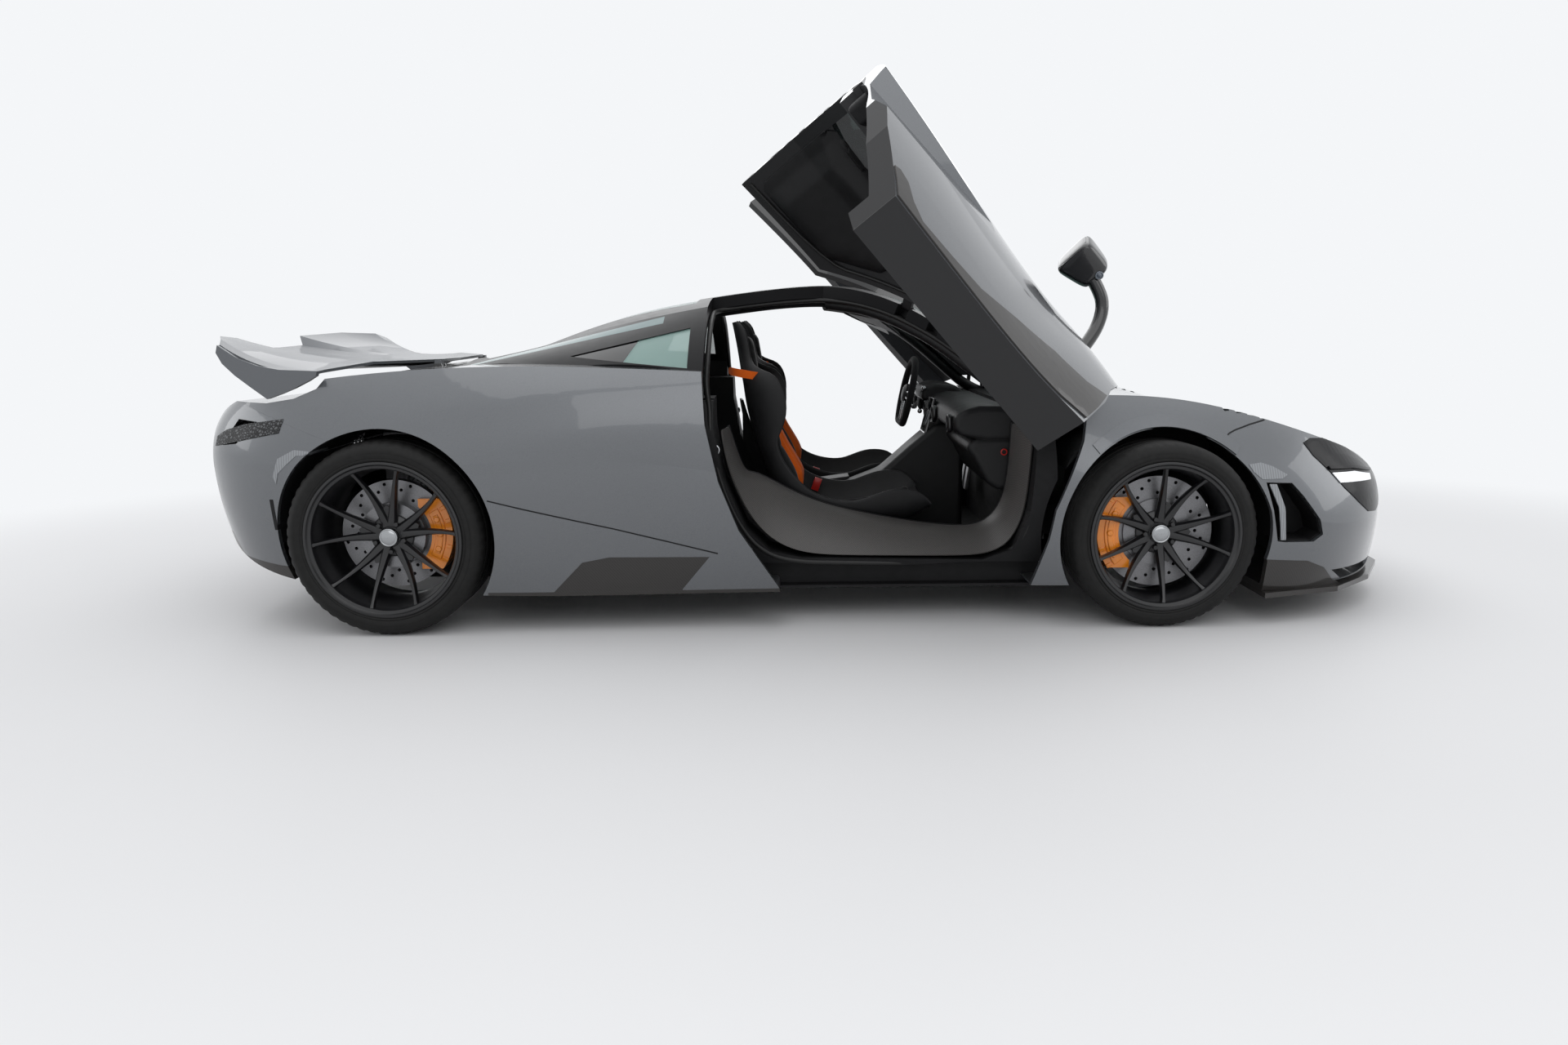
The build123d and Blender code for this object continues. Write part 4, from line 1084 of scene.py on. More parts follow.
class COUPE_OT_mirrors(bpy.types.Operator):
    """Door mirrors: rounded housing, glass and a swept arm"""
    bl_idname = "coupe.mirrors"
    bl_label = "Mirrors"

    def execute(self, context):
        x, y, z, toe = 0.602, 1.002, 1.002, 8
        cup = primitive("cube", (0.136, 0.156, 0.134), size=1.0, location=(0, 0, 0))
        cup.name = "mirror_cup_left"
        for v in cup.data.vertices:
            if v.co.x > 0:      # pinched towards the nose, higher outboard
                v.co.y = v.co.y * 0.72 + 0.004
                v.co.z = v.co.z * 0.66 - 0.004
            elif v.co.y < 0:
                v.co.z *= 0.86
        editing(cup)
        bpy.ops.mesh.subdivide(number_cuts=1)
        bpy.ops.object.mode_set(mode="OBJECT")
        round_edges(cup, 0.03, 3, 40)
        done(put(swell(cup, 2), (x, y, z), toe), 60)
        glass = slab("mirror_glass_left", [(-0.0615, py, pz) for py, pz in ((-0.060, -0.036), (-0.056, 0.036),
                (-0.02, 0.047), (0.050, 0.044), (0.064, 0.026), (0.064, -0.024), (0.052, -0.044),
                (-0.04, -0.047))], (-0.002, 0, 0))
        put(glass, (x, y, z), toe)
        arm = tube("mirror_arm_left", [(0.800, 0.850, 0.826), (0.798, 0.884, 0.862), (0.786, 0.930, 0.905),
                (0.756, 0.972, 0.940), (0.710, 0.996, 0.962), (0.650, 1.000, 0.980)], 0.023, rings=4)
        eye = lathe("mirror_eye_left", [(0.0004, 0.006), (0.006, 0.0055), (0.009, 0.003), (0.0125, 0.004),
                (0.0145, 0.002), (0.0145, -0.006), (0.0004, -0.006)], (0, 0, 0), 28)
        put(eye, (0.650, 1.030, 0.952), -90, "X")
        hang(cup, "gloss_black", "gloss_black", ["mirror_left"])
        hang(glass, "mirror", "gloss_black")
        hang(arm, "gloss_black", "gloss_black")
        hang(eye, "lens", "gloss_black")
        return {"FINISHED"}


# ---------------------------------------------------------------- cabin
SEAT_Y = 0.375
# cushions of one seat: half width, finish, side outline (x, z)
PADS = {
    "head": (0.088, "suede",
        [(-0.252, 1.012), (-0.232, 0.900), (-0.224, 0.800), (-0.196, 0.800), (-0.206, 0.900),
         (-0.224, 1.008)]),
    "back_centre": (0.098, "orange_suede",
        [(-0.205, 0.742), (-0.188, 0.660), (-0.160, 0.540), (-0.100, 0.430), (-0.020, 0.436), (-0.026, 0.486),
         (-0.054, 0.536), (-0.090, 0.596), (-0.122, 0.660), (-0.156, 0.742)]),
    "base": (0.120, "suede",
        [(-0.058, 0.292), (0.06, 0.268), (0.2, 0.290), (0.328, 0.316), (0.424, 0.384), (0.412, 0.402),
         (0.326, 0.346), (0.2, 0.320), (0.06, 0.298), (-0.046, 0.318)]),
}
# bolsters beside the centres: inner and outer half width, side outline
BOLSTERS = [
    (0.106, 0.196,
        [(-0.214, 0.800), (-0.200, 0.690), (-0.170, 0.560), (-0.110, 0.440), (-0.040, 0.440), (-0.048, 0.486),
         (-0.078, 0.540), (-0.112, 0.600), (-0.142, 0.690), (-0.168, 0.800)]),
    (0.126, 0.205,
        [(-0.058, 0.300), (0.06, 0.276), (0.2, 0.294), (0.328, 0.322), (0.414, 0.380), (0.400, 0.404),
         (0.318, 0.362), (0.2, 0.342), (0.06, 0.330), (-0.046, 0.344)]),
]


def pad(name, outline, y0, y1, cap, voxel=0.006):
    """Stuffed form: a shrunken block, remeshed and blown up, with no point moved further than cap."""
    cx = sum(p[0] for p in outline) / len(outline)
    cz = sum(p[1] for p in outline) / len(outline)
    inset, shrink = 0.006, 0.96
    obj = slab(name, [(cx + (x - cx) * shrink, y0 + inset, cz + (z - cz) * shrink) for x, z in outline],
               (0, y1 - y0 - 2 * inset, 0), 0)
    round_edges(obj, 0.006, 2)
    m = obj.modifiers.new("even", "REMESH")
    m.mode, m.voxel_size = "VOXEL", voxel
    apply_modifiers(obj)
    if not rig.quick():
        start = [v.co.copy() for v in obj.data.vertices]
        cloth = obj.modifiers.new("fill", "CLOTH")
        cloth.settings.use_pressure = True
        cloth.settings.uniform_pressure_force = 4.0
        cloth.settings.effector_weights.gravity = 0.0
        cloth.settings.quality = 4
        cloth.settings.tension_stiffness = 8.0
        cloth.point_cache.frame_start, cloth.point_cache.frame_end = 1, 20
        scene = bpy.context.scene
        for f in range(1, 15):
            scene.frame_set(f)
        apply_modifiers(obj)
        scene.frame_set(1)
        for v, s in zip(obj.data.vertices, start):
            step = v.co - s
            if step.length > cap:
                v.co = s + step * (cap / step.length)
    m = obj.modifiers.new("calm", "SMOOTH")
    m.factor, m.iterations = 0.5, 4
    apply_modifiers(obj)
    return done(obj, 60)


def channel(obj, centre_y, pitch, deep, facing):
    """Sewn channels along the seat: the cover pulls in on lines of constant y."""
    for v, n in zip(obj.data.vertices, [v.normal.copy() for v in obj.data.vertices]):
        k = abs(((v.co.y - centre_y) / pitch + 0.5) % 1.0 - 0.5)
        if n.dot(facing) > 0.3:
            v.co -= n * deep * math.exp(-(k / 0.12) ** 2)
    obj.data.update()


class COUPE_OT_seat_pads(bpy.types.Operator):
    """Stuffed seat pads with sewn channels, both seats"""
    bl_idname = "coupe.seat_pads"
    bl_label = "Seat pads"

    def execute(self, context):
        made = []
        for name, (half, kind, outline) in PADS.items():
            piece = pad("pad_" + name + "_left", outline, SEAT_Y - half, SEAT_Y + half, 0.008)
            if name != "head":
                facing = Vector((0.75, 0, 0.65)) if "centre" in name else Vector((0, 0, 1))
                channel(piece, SEAT_Y, 0.034 if "centre" in name else 0.06, 0.0035, facing)
            made.append((piece, kind))
        for i, (inner, outer, outline) in enumerate(BOLSTERS):
            for sign in (-1, 1):
                y0, y1 = sorted((SEAT_Y + sign * inner, SEAT_Y + sign * outer))
                made.append((pad("pad_bolster%d%s_left" % (i, "ab"[sign > 0]), outline, y0, y1, 0.009),
                             "suede"))
        for piece, kind in made:
            for p in pair(piece, "chassis", kind, "seat_fabric"):
                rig.padded(p, fill=0.7)
        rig.replaces(made[0][0], "seat_pads")
        return {"FINISHED"}


def under_roof(tree, x, y, drop):
    """Point so far under the surface that a line from above first meets."""
    at = meet(tree, (x, y, FAR), (0, 0, -1))
    return Vector((x, y, (at.z if at else 1.0) - drop))


def off_line(p, a, b):
    """Distance of a point from the stretch of line from a to b."""
    along = max(0, min(1, (p - a).dot(b - a) / (b - a).length_squared))
    return (p - (a + (b - a) * along)).length


class COUPE_OT_door_trim(bpy.types.Operator):
    """Inner side of the doors: roof lining pad with its bead, and the skin of the lower blade"""
    bl_idname = "coupe.door_trim"
    bl_label = "Door trim"

    def execute(self, context):
        tree = closed_surface("door_roof_left")
        outline = [(-0.322, 0.262), (-0.300, 0.238), (0.000, 0.236), (0.040, 0.244), (0.150, 0.330),
                (0.205, 0.378), (0.212, 0.410), (0.196, 0.560), (0.170, 0.600), (-0.290, 0.610),
                (-0.322, 0.580)]
        flat = subdivided("door_roof_lining_left", [(a, b, 0) for a, b in outline], 5)
        edge = [(Vector(a), Vector(b)) for a, b in zip(outline, outline[1:] + outline[:1])]
        for v in flat.data.vertices:
            p = Vector((v.co.x, v.co.y))
            inward = min(off_line(p, a, b) for a, b in edge)
            at = meet(tree, (p.x, p.y, 0.6), (0, 0, 1))
            base = at.z if at else 1.05
            puff = 0.020 * (1 - math.exp(-inward / 0.018))
            rear = max(0.1, min(1.0, (p.x + 0.285) / 0.08))      # thinner towards the rear edge
            v.co.z = base - 0.0015 - puff * rear
        thicken(flat, 0.006, 60)
        outside = closed_surface("door_left", "door_blade_left")
        skin = [(-0.170, 0.236), (-0.150, 0.247), (-0.110, 0.238), (-0.065, 0.196), (-0.010, 0.170),
                (0.117, 0.181), (0.250, 0.198), (0.404, 0.258), (0.565, 0.308), (0.710, 0.316),
                (0.796, 0.350), (0.771, 0.250), (0.744, 0.166), (0.640, 0.154), (0.300, 0.153),
                (0.000, 0.153), (-0.112, 0.154), (-0.140, 0.196)]
        blade = patch("door_blade_skin_left", skin, outside, 0.011, bevel=0.003)
        rim = [(-0.350, 0.205), (0.050, 0.205), (0.195, 0.318), (0.320, 0.410), (0.420, 0.480)]
        beads = [under_roof(tree, x, y + 0.012, 0.0) for x, y in rim]
        for b in beads:
            at = meet(tree, (b.x, b.y, 0.6), (0, 0, 1))
            b.z = (at.z if at else b.z) - 0.002
        bead = tube("door_roof_bead_left", beads, 0.006)
        hang(flat, "leather", "cabin_black")
        hang(bead, "seal_rubber", "black_plastic")
        hang(blade, "carbon", "carbon")
        return {"FINISHED"}


class COUPE_OT_seals(bpy.types.Operator):
    """Thick round seals round the door openings"""
    bl_idname = "coupe.seals"
    bl_label = "Door seals"

    def execute(self, context):
        tub = surface("tub")
        frame_tree = surface("canopy_frame")
        lower = [(-0.352, 0.760), (-0.354, 0.700), (-0.327, 0.532), (-0.250, 0.340), (-0.162, 0.248),
                (-0.045, 0.220), (0.100, 0.217), (0.350, 0.211), (0.605, 0.206), (0.712, 0.250),
                (0.768, 0.398), (0.788, 0.600), (0.792, 0.680)]
        points = []
        for x, z in lower:
            at = from_left(tub, x, z)
            points.append(Vector((x, (at.y if at else 0.80) - 0.0045, z)))
        header = [(0.800, 0.694), (0.700, 0.626), (0.560, 0.534), (0.450, 0.462), (0.330, 0.384),
                  (0.250, 0.326), (0.190, 0.280), (0.120, 0.226), (0.050, 0.182), (-0.050, 0.178),
                  (-0.200, 0.178), (-0.330, 0.178)]
        post = [(0.215, 1.098), (0.340, 1.088), (0.470, 1.058), (0.570, 1.010), (0.670, 0.950),
                (0.745, 0.895), (0.795, 0.835)]
        path = points + [Vector((0.792, 0.775, 0.742))]
        path += [under_roof(frame_tree, x, y - 0.008, 0.053) for x, y in header]
        path += [Vector((-0.366, y, z)) for y, z in post]
        seal = tube("door_seal_left", path, 0.0095, closed=True, resolution=6)
        pair(seal, "chassis", "seal_rubber", "black_plastic")
        return {"FINISHED"}


# ---------------------------------------------------------------- outside details
def seam(name, line, tree, width=0.0045, step=0.012):
    """Dark shut line along (x, z) points on the left side of the body."""
    rows = []
    for (xa, za), (xb, zb) in zip(line, line[1:]):
        across = Vector((za - zb, xb - xa)).normalized() * width / 2
        count = max(1, int(math.hypot(xb - xa, zb - za) / step))
        for k in range(count + 1):
            x, z = xa + (xb - xa) * k / count, za + (zb - za) * k / count
            ends = [from_left(tree, x + s * across.x, z + s * across.y) for s in (-1, 1)]
            if all(ends) and (not rows or (ends[0] - rows[-1][0]).length > 0.002):
                rows.append(ends)
    return thicken(sheet(name, rows), 0.0016, 40)


# skins laid on the left side: what carries them, thickness, cell, bevel, finish, slot, outline (x, z)
SKINS = {
    "lamp_eye_left": ("nose", 0.004, 0.012, 0.0015, "lamp_black", "gloss_black",
        [(1.714, 0.622), (1.749, 0.634), (1.812, 0.630), (1.885, 0.611), (1.988, 0.560), (2.074, 0.514),
         (2.128, 0.466), (2.126, 0.412), (2.085, 0.375), (2.035, 0.362), (1.973, 0.372), (1.920, 0.410),
         (1.853, 0.466), (1.795, 0.526), (1.739, 0.580)]),
    "lamp_bar_left": ("nose", 0.012, 0.012, 0.003, "light_bar", "silver_paint",
        [(1.806, 0.518), (1.920, 0.512), (2.030, 0.489), (2.026, 0.470), (1.930, 0.478), (1.836, 0.484)]),
    "lamp_brow_left": ("nose", 0.016, 0.012, 0.002, "lamp_black", "gloss_black",
        [(1.790, 0.540), (1.915, 0.532), (2.060, 0.500), (2.056, 0.494), (1.915, 0.522), (1.796, 0.530)]),
    "side_marker_left": ("body", 0.004, 0.02, 0.0, "smoked_lens", "lamp_red",
        [(1.486, 0.561), (1.530, 0.566), (1.570, 0.553), (1.622, 0.524), (1.600, 0.512), (1.528, 0.512),
         (1.500, 0.536)]),
    "rear_marker_left": ("body", 0.004, 0.02, 0.0, "smoked_lens", "lamp_red",
        [(-1.826, 0.536), (-1.816, 0.572), (-1.744, 0.633), (-1.700, 0.634), (-1.692, 0.646), (-1.752, 0.652),
         (-1.812, 0.622), (-1.836, 0.560)]),
    "vent_vane_left": ("flank", 0.006, 0.012, 0.001, "smoked_lens", "lamp_red",
        [(1.550, 0.496), (1.576, 0.495), (1.600, 0.420), (1.610, 0.306), (1.592, 0.306), (1.578, 0.420)]),
    "tail_vent_left": ("stern", 0.005, 0.012, 0.001, "grille", "black_plastic",
        [(-1.800, 0.752), (-1.870, 0.744), (-1.950, 0.733), (-2.030, 0.712), (-2.078, 0.688), (-2.086, 0.654),
         (-2.000, 0.670), (-1.900, 0.690), (-1.812, 0.706)]),
    "rear_vent_strip_left": ("body", 0.003, 0.02, 0.0, "moulded", "black_plastic",
        [(-1.858, 0.372), (-1.846, 0.372), (-1.849, 0.480), (-1.861, 0.480)]),
}


class COUPE_OT_nose(bpy.types.Operator):
    """Headlamp sockets and bars, markers, shut lines, vent vanes and the fins over the wheels"""
    bl_idname = "coupe.nose"
    bl_label = "Nose details"

    def execute(self, context):
        body = surface("front_bumper", "front_fenders", "rear_bumper", "rear_quarters", "bonnet")
        trees = {"body": body,
                 "nose": taut(("front_bumper", "front_fenders"), (1.55, 0.15, 0.25), (2.26, 1.0, 0.72)),
                 "flank": taut(("front_bumper",), (1.44, 0.15, 0.26), (1.80, 1.0, 0.62)),
                 "stern": taut(("rear_bumper", "rear_quarters"), (-2.25, 0.15, 0.45), (-1.70, 1.0, 0.80))}
        made = [(patch(name, outline, trees[carrier], depth, cell, bevel), kind, slot)
                for name, (carrier, depth, cell, bevel, kind, slot, outline) in SKINS.items()]
        # the edge of the wing over the wheel, carried down to the arch
        a = AXLES["front"]
        inner_r, outer_r, far_r = 0.3665, 0.402, 0.430
        radii = (inner_r, inner_r + 0.012, inner_r + 0.024, outer_r + 0.003)
        hub = Vector((a["x"], FAR, a["z"]))
        rows = []
        for k in range(29):
            turn = math.radians(-42 + 3 * k)
            out = Vector((math.sin(turn), 0, math.cos(turn)))
            near = meet(body, hub + out * outer_r, (0, -1, 0))
            far = meet(body, hub + out * far_r, (0, -1, 0))
            if near is None or far is None or near.y < 0.6 or far.y < 0.6:
                continue
            slope = (near.y - far.y) / (outer_r - far_r)
            rows.append([Vector((a["x"], 0, a["z"])) + out * r
                         + Vector((0, near.y + slope * (r - outer_r) + 0.0012, 0)) for r in radii])
        made.append((thicken(sheet("fender_crown_left", rows), 0.004, 50), "paint", "silver_paint"))
        seams = {"quarter_seam_left": [(-1.104, 0.475), (-0.985, 0.444), (-0.822, 0.405), (-0.680, 0.372),
                (-0.493, 0.323), (-0.330, 0.279)], "fender_seam_left": [(1.425, 0.652), (1.438, 0.662),
                (1.463, 0.672), (1.523, 0.688), (1.600, 0.703)]}
        for name, line in seams.items():
            made.append((seam(name, line, body), "moulded", "black_plastic"))
        for k in range(4):
            x = 1.424 + 0.042 * k
            near_row, far_row = [], []
            for y in (0.632, 0.660, 0.690, 0.720, 0.748):
                at = meet(body, (x + 0.018, y, 1.3), (0, 0, -1))
                z = at.z if at and at.z > 0.62 else 0.70
                near_row.append((x, y, z + 0.003))
                far_row.append((x + 0.027, y, z - 0.012))
            fin = thicken(sheet("fender_fin%d_left" % k, [near_row, far_row]), 0.0035, 40)
            made.append((fin, "gloss_black", "gloss_black"))
        for piece, kind, slot in made:
            pair(piece, "chassis", kind, slot)
        return {"FINISHED"}


# y and z of the four exhaust pipes
PIPE_Y = (-0.168, -0.056, 0.056, 0.168)
PIPE_Z = 0.548


class COUPE_OT_tail(bpy.types.Operator):
    """Rolled exhaust tips and the baffles in the pipes"""
    bl_idname = "coupe.tail"
    bl_label = "Tail details"

    def execute(self, context):
        profile = [(0.0478, -0.012), (0.0515, -0.008), (0.053, 0.0), (0.0515, 0.007), (0.0478, 0.008),
                   (0.045, 0.004), (0.0442, -0.012)]
        tips = [put(lathe("tip", profile, (0, 0, 0), 48), (-2.153, y, PIPE_Z), 90) for y in PIPE_Y]
        wear(joined("exhaust_tips", tips), "chassis", "exhaust", "exhaust_metal")
        cores = []
        for y in PIPE_Y:
            core = primitive("cylinder", vertices=40, radius=0.0445, depth=0.006, location=(-2.07, y, PIPE_Z),
                             rotation=(0, math.pi / 2, 0))
            cores.append(round_edges(core, 0.002, 2))
        wear(joined("exhaust_baffles", cores), "chassis", "moulded", "black_plastic")
        return {"FINISHED"}


# ---------------------------------------------------------------- cabin details
class COUPE_OT_belts(bpy.types.Operator):
    """Shoulder straps, buckles and belts of both seats"""
    bl_idname = "coupe.belts"
    bl_label = "Belts"

    def execute(self, context):
        made = []
        for sign, tag in ((-1, "a"), (1, "b")):
            y = SEAT_Y + sign * 0.085
            band = strap("shoulder_band_%s_left" % tag,
                         [(-0.262, y, 0.930), (-0.236, y, 0.900), (-0.222, y, 0.862), (-0.214, y, 0.812)],
                         [(0, 1, 0)] * 4, 0.050)
            made.append((band, "orange_suede", "seat_fabric"))
        tab = strap("shoulder_tab_left", [(-0.300, SEAT_Y + 0.160, 0.884), (-0.282, SEAT_Y + 0.206, 0.880),
                (-0.236, SEAT_Y + 0.222, 0.872), (-0.190, SEAT_Y + 0.214, 0.864),
                (-0.172, SEAT_Y + 0.190, 0.860)], [(0, 0.25, 1)] * 5, 0.030)
        made.append((tab, "orange_suede", "seat_fabric"))
        lap = strap("lap_belt_left", [(-0.070, SEAT_Y - 0.205, 0.330), (-0.020, SEAT_Y - 0.150, 0.372),
                (0.020, SEAT_Y - 0.060, 0.368), (0.030, SEAT_Y + 0.040, 0.360),
                (0.010, SEAT_Y + 0.120, 0.368), (-0.050, SEAT_Y + 0.200, 0.336)], [(0.5, 0, 0.8)] * 6, 0.046)
        made.append((lap, "webbing", "seat_fabric"))
        for piece, kind, slot in made:
            pair(piece, "chassis", kind, slot)
        for name, side_sign in SIDES:
            buckle = primitive("cube", (0.030, 0.016, 0.052), size=1.0, location=(0, 0, 0))
            buckle.name = "buckle_" + name
            editing(buckle)
            bpy.ops.mesh.select_all(action="DESELECT")
            bpy.ops.object.mode_set(mode="OBJECT")
            for p in buckle.data.polygons:
                p.select = p.normal.z > 0.9
            bpy.ops.object.mode_set(mode="EDIT")
            bpy.ops.mesh.select_mode(type="FACE")
            bpy.ops.mesh.inset(thickness=0.003)
            bpy.ops.mesh.extrude_region_move(TRANSFORM_OT_translate={"value": (0, 0, -0.002)})
            bpy.ops.object.mode_set(mode="OBJECT")
            round_edges(buckle, 0.002, 2)
            put(buckle, (0.030, side_sign * (SEAT_Y - 0.213), 0.402), 20, "Y")
            tidy_normals(buckle)
            wear(done(buckle, 40), "chassis", "red_plastic", "lamp_red")
        return {"FINISHED"}


def wheel_place():
    """Matrix from the steering wheel's own plane (X to the left, Z to the driver) to the car."""
    j = JOINTS["steering_wheel"]
    face = Vector(j["axis"]).normalized()
    left = Vector((0, 1, 0))
    up = face.cross(left)
    place = Matrix((left, up, face)).transposed().to_4x4()
    place.translation = Vector(j["pos_m"])
    return place


class COUPE_OT_steering(bpy.types.Operator):
    """Flat-bottomed steering wheel with metal spokes, and the stalks behind it"""
    bl_idname = "coupe.steering"
    bl_label = "Steering wheel"

    def execute(self, context):
        place = wheel_place()
        up_sign = 1 if place.to_3x3().col[1].z > 0 else -1
        wide, high, flat = 0.159, 0.156, -0.128      # half width, half height and level of the flat bottom
        turns = [2 * math.pi * k / 40 for k in range(40)]
        ring = [place @ Vector((wide * math.cos(a), up_sign * max(high * math.sin(a), flat), 0))
                for a in turns]
        rim = tube("steering_rim", ring, 0.0152, closed=True, resolution=4, rings=4)
        wear(rim, "steering_column_wheel", "suede", "cabin_black", ["steering_wheel"])
        spokes = []
        for points in ([(-0.150, -0.012, 0.0), (-0.096, -0.018, 0.006), (-0.040, -0.012, 0.004)],
                       [(-0.148, 0.020, 0.0), (-0.094, 0.012, 0.006), (-0.040, 0.010, 0.004)],
                       [(-0.024, -0.126, 0.0), (-0.030, -0.080, 0.006), (-0.026, -0.030, 0.004)]):
            for sign in (-1, 1):
                bar = tube("bar", [place @ Vector((sign * x, up_sign * y, z)) for x, y, z in points], 0.0062)
                spokes.append(bar)
        spokes = joined("steering_spokes", spokes)
        wear(spokes, "steering_column_wheel", "silver", "silver_paint")
        hub = lathe("steering_hub", [(0.0004, 0.022), (0.020, 0.0215), (0.034, 0.018), (0.043, 0.010),
                (0.046, 0.0), (0.044, -0.012), (0.036, -0.018), (0.0004, -0.018)], (0, 0, 0), 40)
        hub.data.transform(place @ Matrix.Rotation(math.radians(90), 4, "X"))
        tidy_normals(hub)
        wear(done(hub, 40), "steering_column_wheel", "leather", "cabin_black")
        # a high and a low stalk on each side: root, middle and tip, with the radius
        stalks, ends = [], []
        for points, radius in (([(0.030, 0.006, -0.060), (0.090, 0.020, -0.056), (0.150, 0.046, -0.050)],
                0.0075), ([(0.028, -0.020, -0.062), (0.080, -0.040, -0.062), (0.126, -0.056, -0.058)],
                0.0065)):
            for sign in (-1, 1):
                line = [place @ Vector((sign * x, up_sign * y, z)) for x, y, z in points]
                stalks.append(tube("stalk", line, radius))
                ends.append(primitive("uv_sphere", segments=20, ring_count=12, radius=0.0105,
                        location=line[-1]))
        shroud = lathe("shroud", [(0.0004, 0.030), (0.040, 0.028), (0.052, 0.018), (0.054, -0.060),
                (0.048, -0.070), (0.0004, -0.070)], (0, 0, 0), 40)
        behind = place @ Matrix.Translation((0, 0, -0.085))
        shroud.data.transform(behind @ Matrix.Rotation(math.radians(90), 4, "X"))
        stalks = joined("column_stalks", [done(tidy_normals(shroud), 40)] + stalks)
        wear(stalks, "chassis", "moulded", "black_plastic")
        ends = joined("stalk_ends", ends)
        wear(done(ends, 60), "chassis", "silver", "silver_paint")
        return {"FINISHED"}


class COUPE_OT_cabin(bpy.types.Operator):
    """Pillar and roof linings and the visors"""
    bl_idname = "coupe.cabin"
    bl_label = "Cabin"

    def execute(self, context):
        roof = surface("canopy_frame")
        made = []
        path = [under_roof(roof, x, y, 0.070) for x, y in ((0.880, 0.708), (0.780, 0.640), (0.640, 0.556),
                (0.480, 0.450), (0.350, 0.352), (0.250, 0.268), (0.170, 0.205), (0.080, 0.150))]
        made.append((tube("pillar_lining_left", path, 0.024, rings=5), "leather", "cabin_black"))
        spine = [under_roof(roof, x, 0.120, 0.060) for x in (0.180, 0.060, -0.100, -0.250, -0.370)]
        made.append((tube("roof_lining_left", spine, 0.018, rings=5), "suede", "cabin_black"))
        # folded visor against the windscreen's upper corner
        visor = slab("visor_left", [tuple(under_roof(roof, 0.262, 0.300, 0.078)),
                tuple(under_roof(roof, 0.150, 0.150, 0.086)), (0.205, 0.085, 1.075), (0.330, 0.080, 1.036),
                (0.356, 0.250, 1.010)], (0.006, 0, -0.016), 30)
        round_edges(visor, 0.006, 3)
        made.append((visor, "leather", "cabin_black"))
        for piece, kind, slot in made:
            pair(piece, "chassis", kind, slot)
        return {"FINISHED"}


# ---------------------------------------------------------------- rims
# ridged cross-section of a spoke: shares of its half width and of its depth
SPOKE = ((-1.0, -0.45), (-0.55, -0.03), (0.0, 0.0), (0.55, -0.03), (1.0, -0.45), (0.8, -1.0), (-0.8, -1.0))


def rim_spoke(a, root, tip, root_turn, tip_turn, y_root, y_tip):
    """Ridged bar from the hub to the rim, curved along the dish."""
    verts, faces = [], []
    steps = 12
    for i in range(steps + 1):
        t = i / steps
        r = root + (tip - root) * t
        turn = root_turn + (tip_turn - root_turn) * (0.25 * t + 0.75 * t * t)
        y = y_root + (y_tip - y_root) * (0.30 * t + 0.70 * t ** 2.2)
        half = 0.0125 * (1 - t) ** 1.5 + 0.0072 + 0.004 * max(0.0, t - 0.9) * 10
        deep = 0.034 - 0.012 * t
        along = Vector((math.sin(turn), 0, math.cos(turn)))
        side_way = Vector((math.cos(turn), 0, -math.sin(turn)))
        centre = Vector((a["x"], a["y"] + y, a["z"])) + along * r
        for s, d in SPOKE:
            verts.append(centre + side_way * half * s + Vector((0, deep * d, 0)))
    n = len(SPOKE)
    for i in range(steps):
        for j in range(n):
            k = (j + 1) % n
            faces.append((n * i + j, n * i + k, n * i + n + k, n * i + n + j))
    faces.append(tuple(reversed(range(n))))
    faces.append(tuple(range(n * steps, n * steps + n)))
    return mesh_object("spoke", verts, faces)


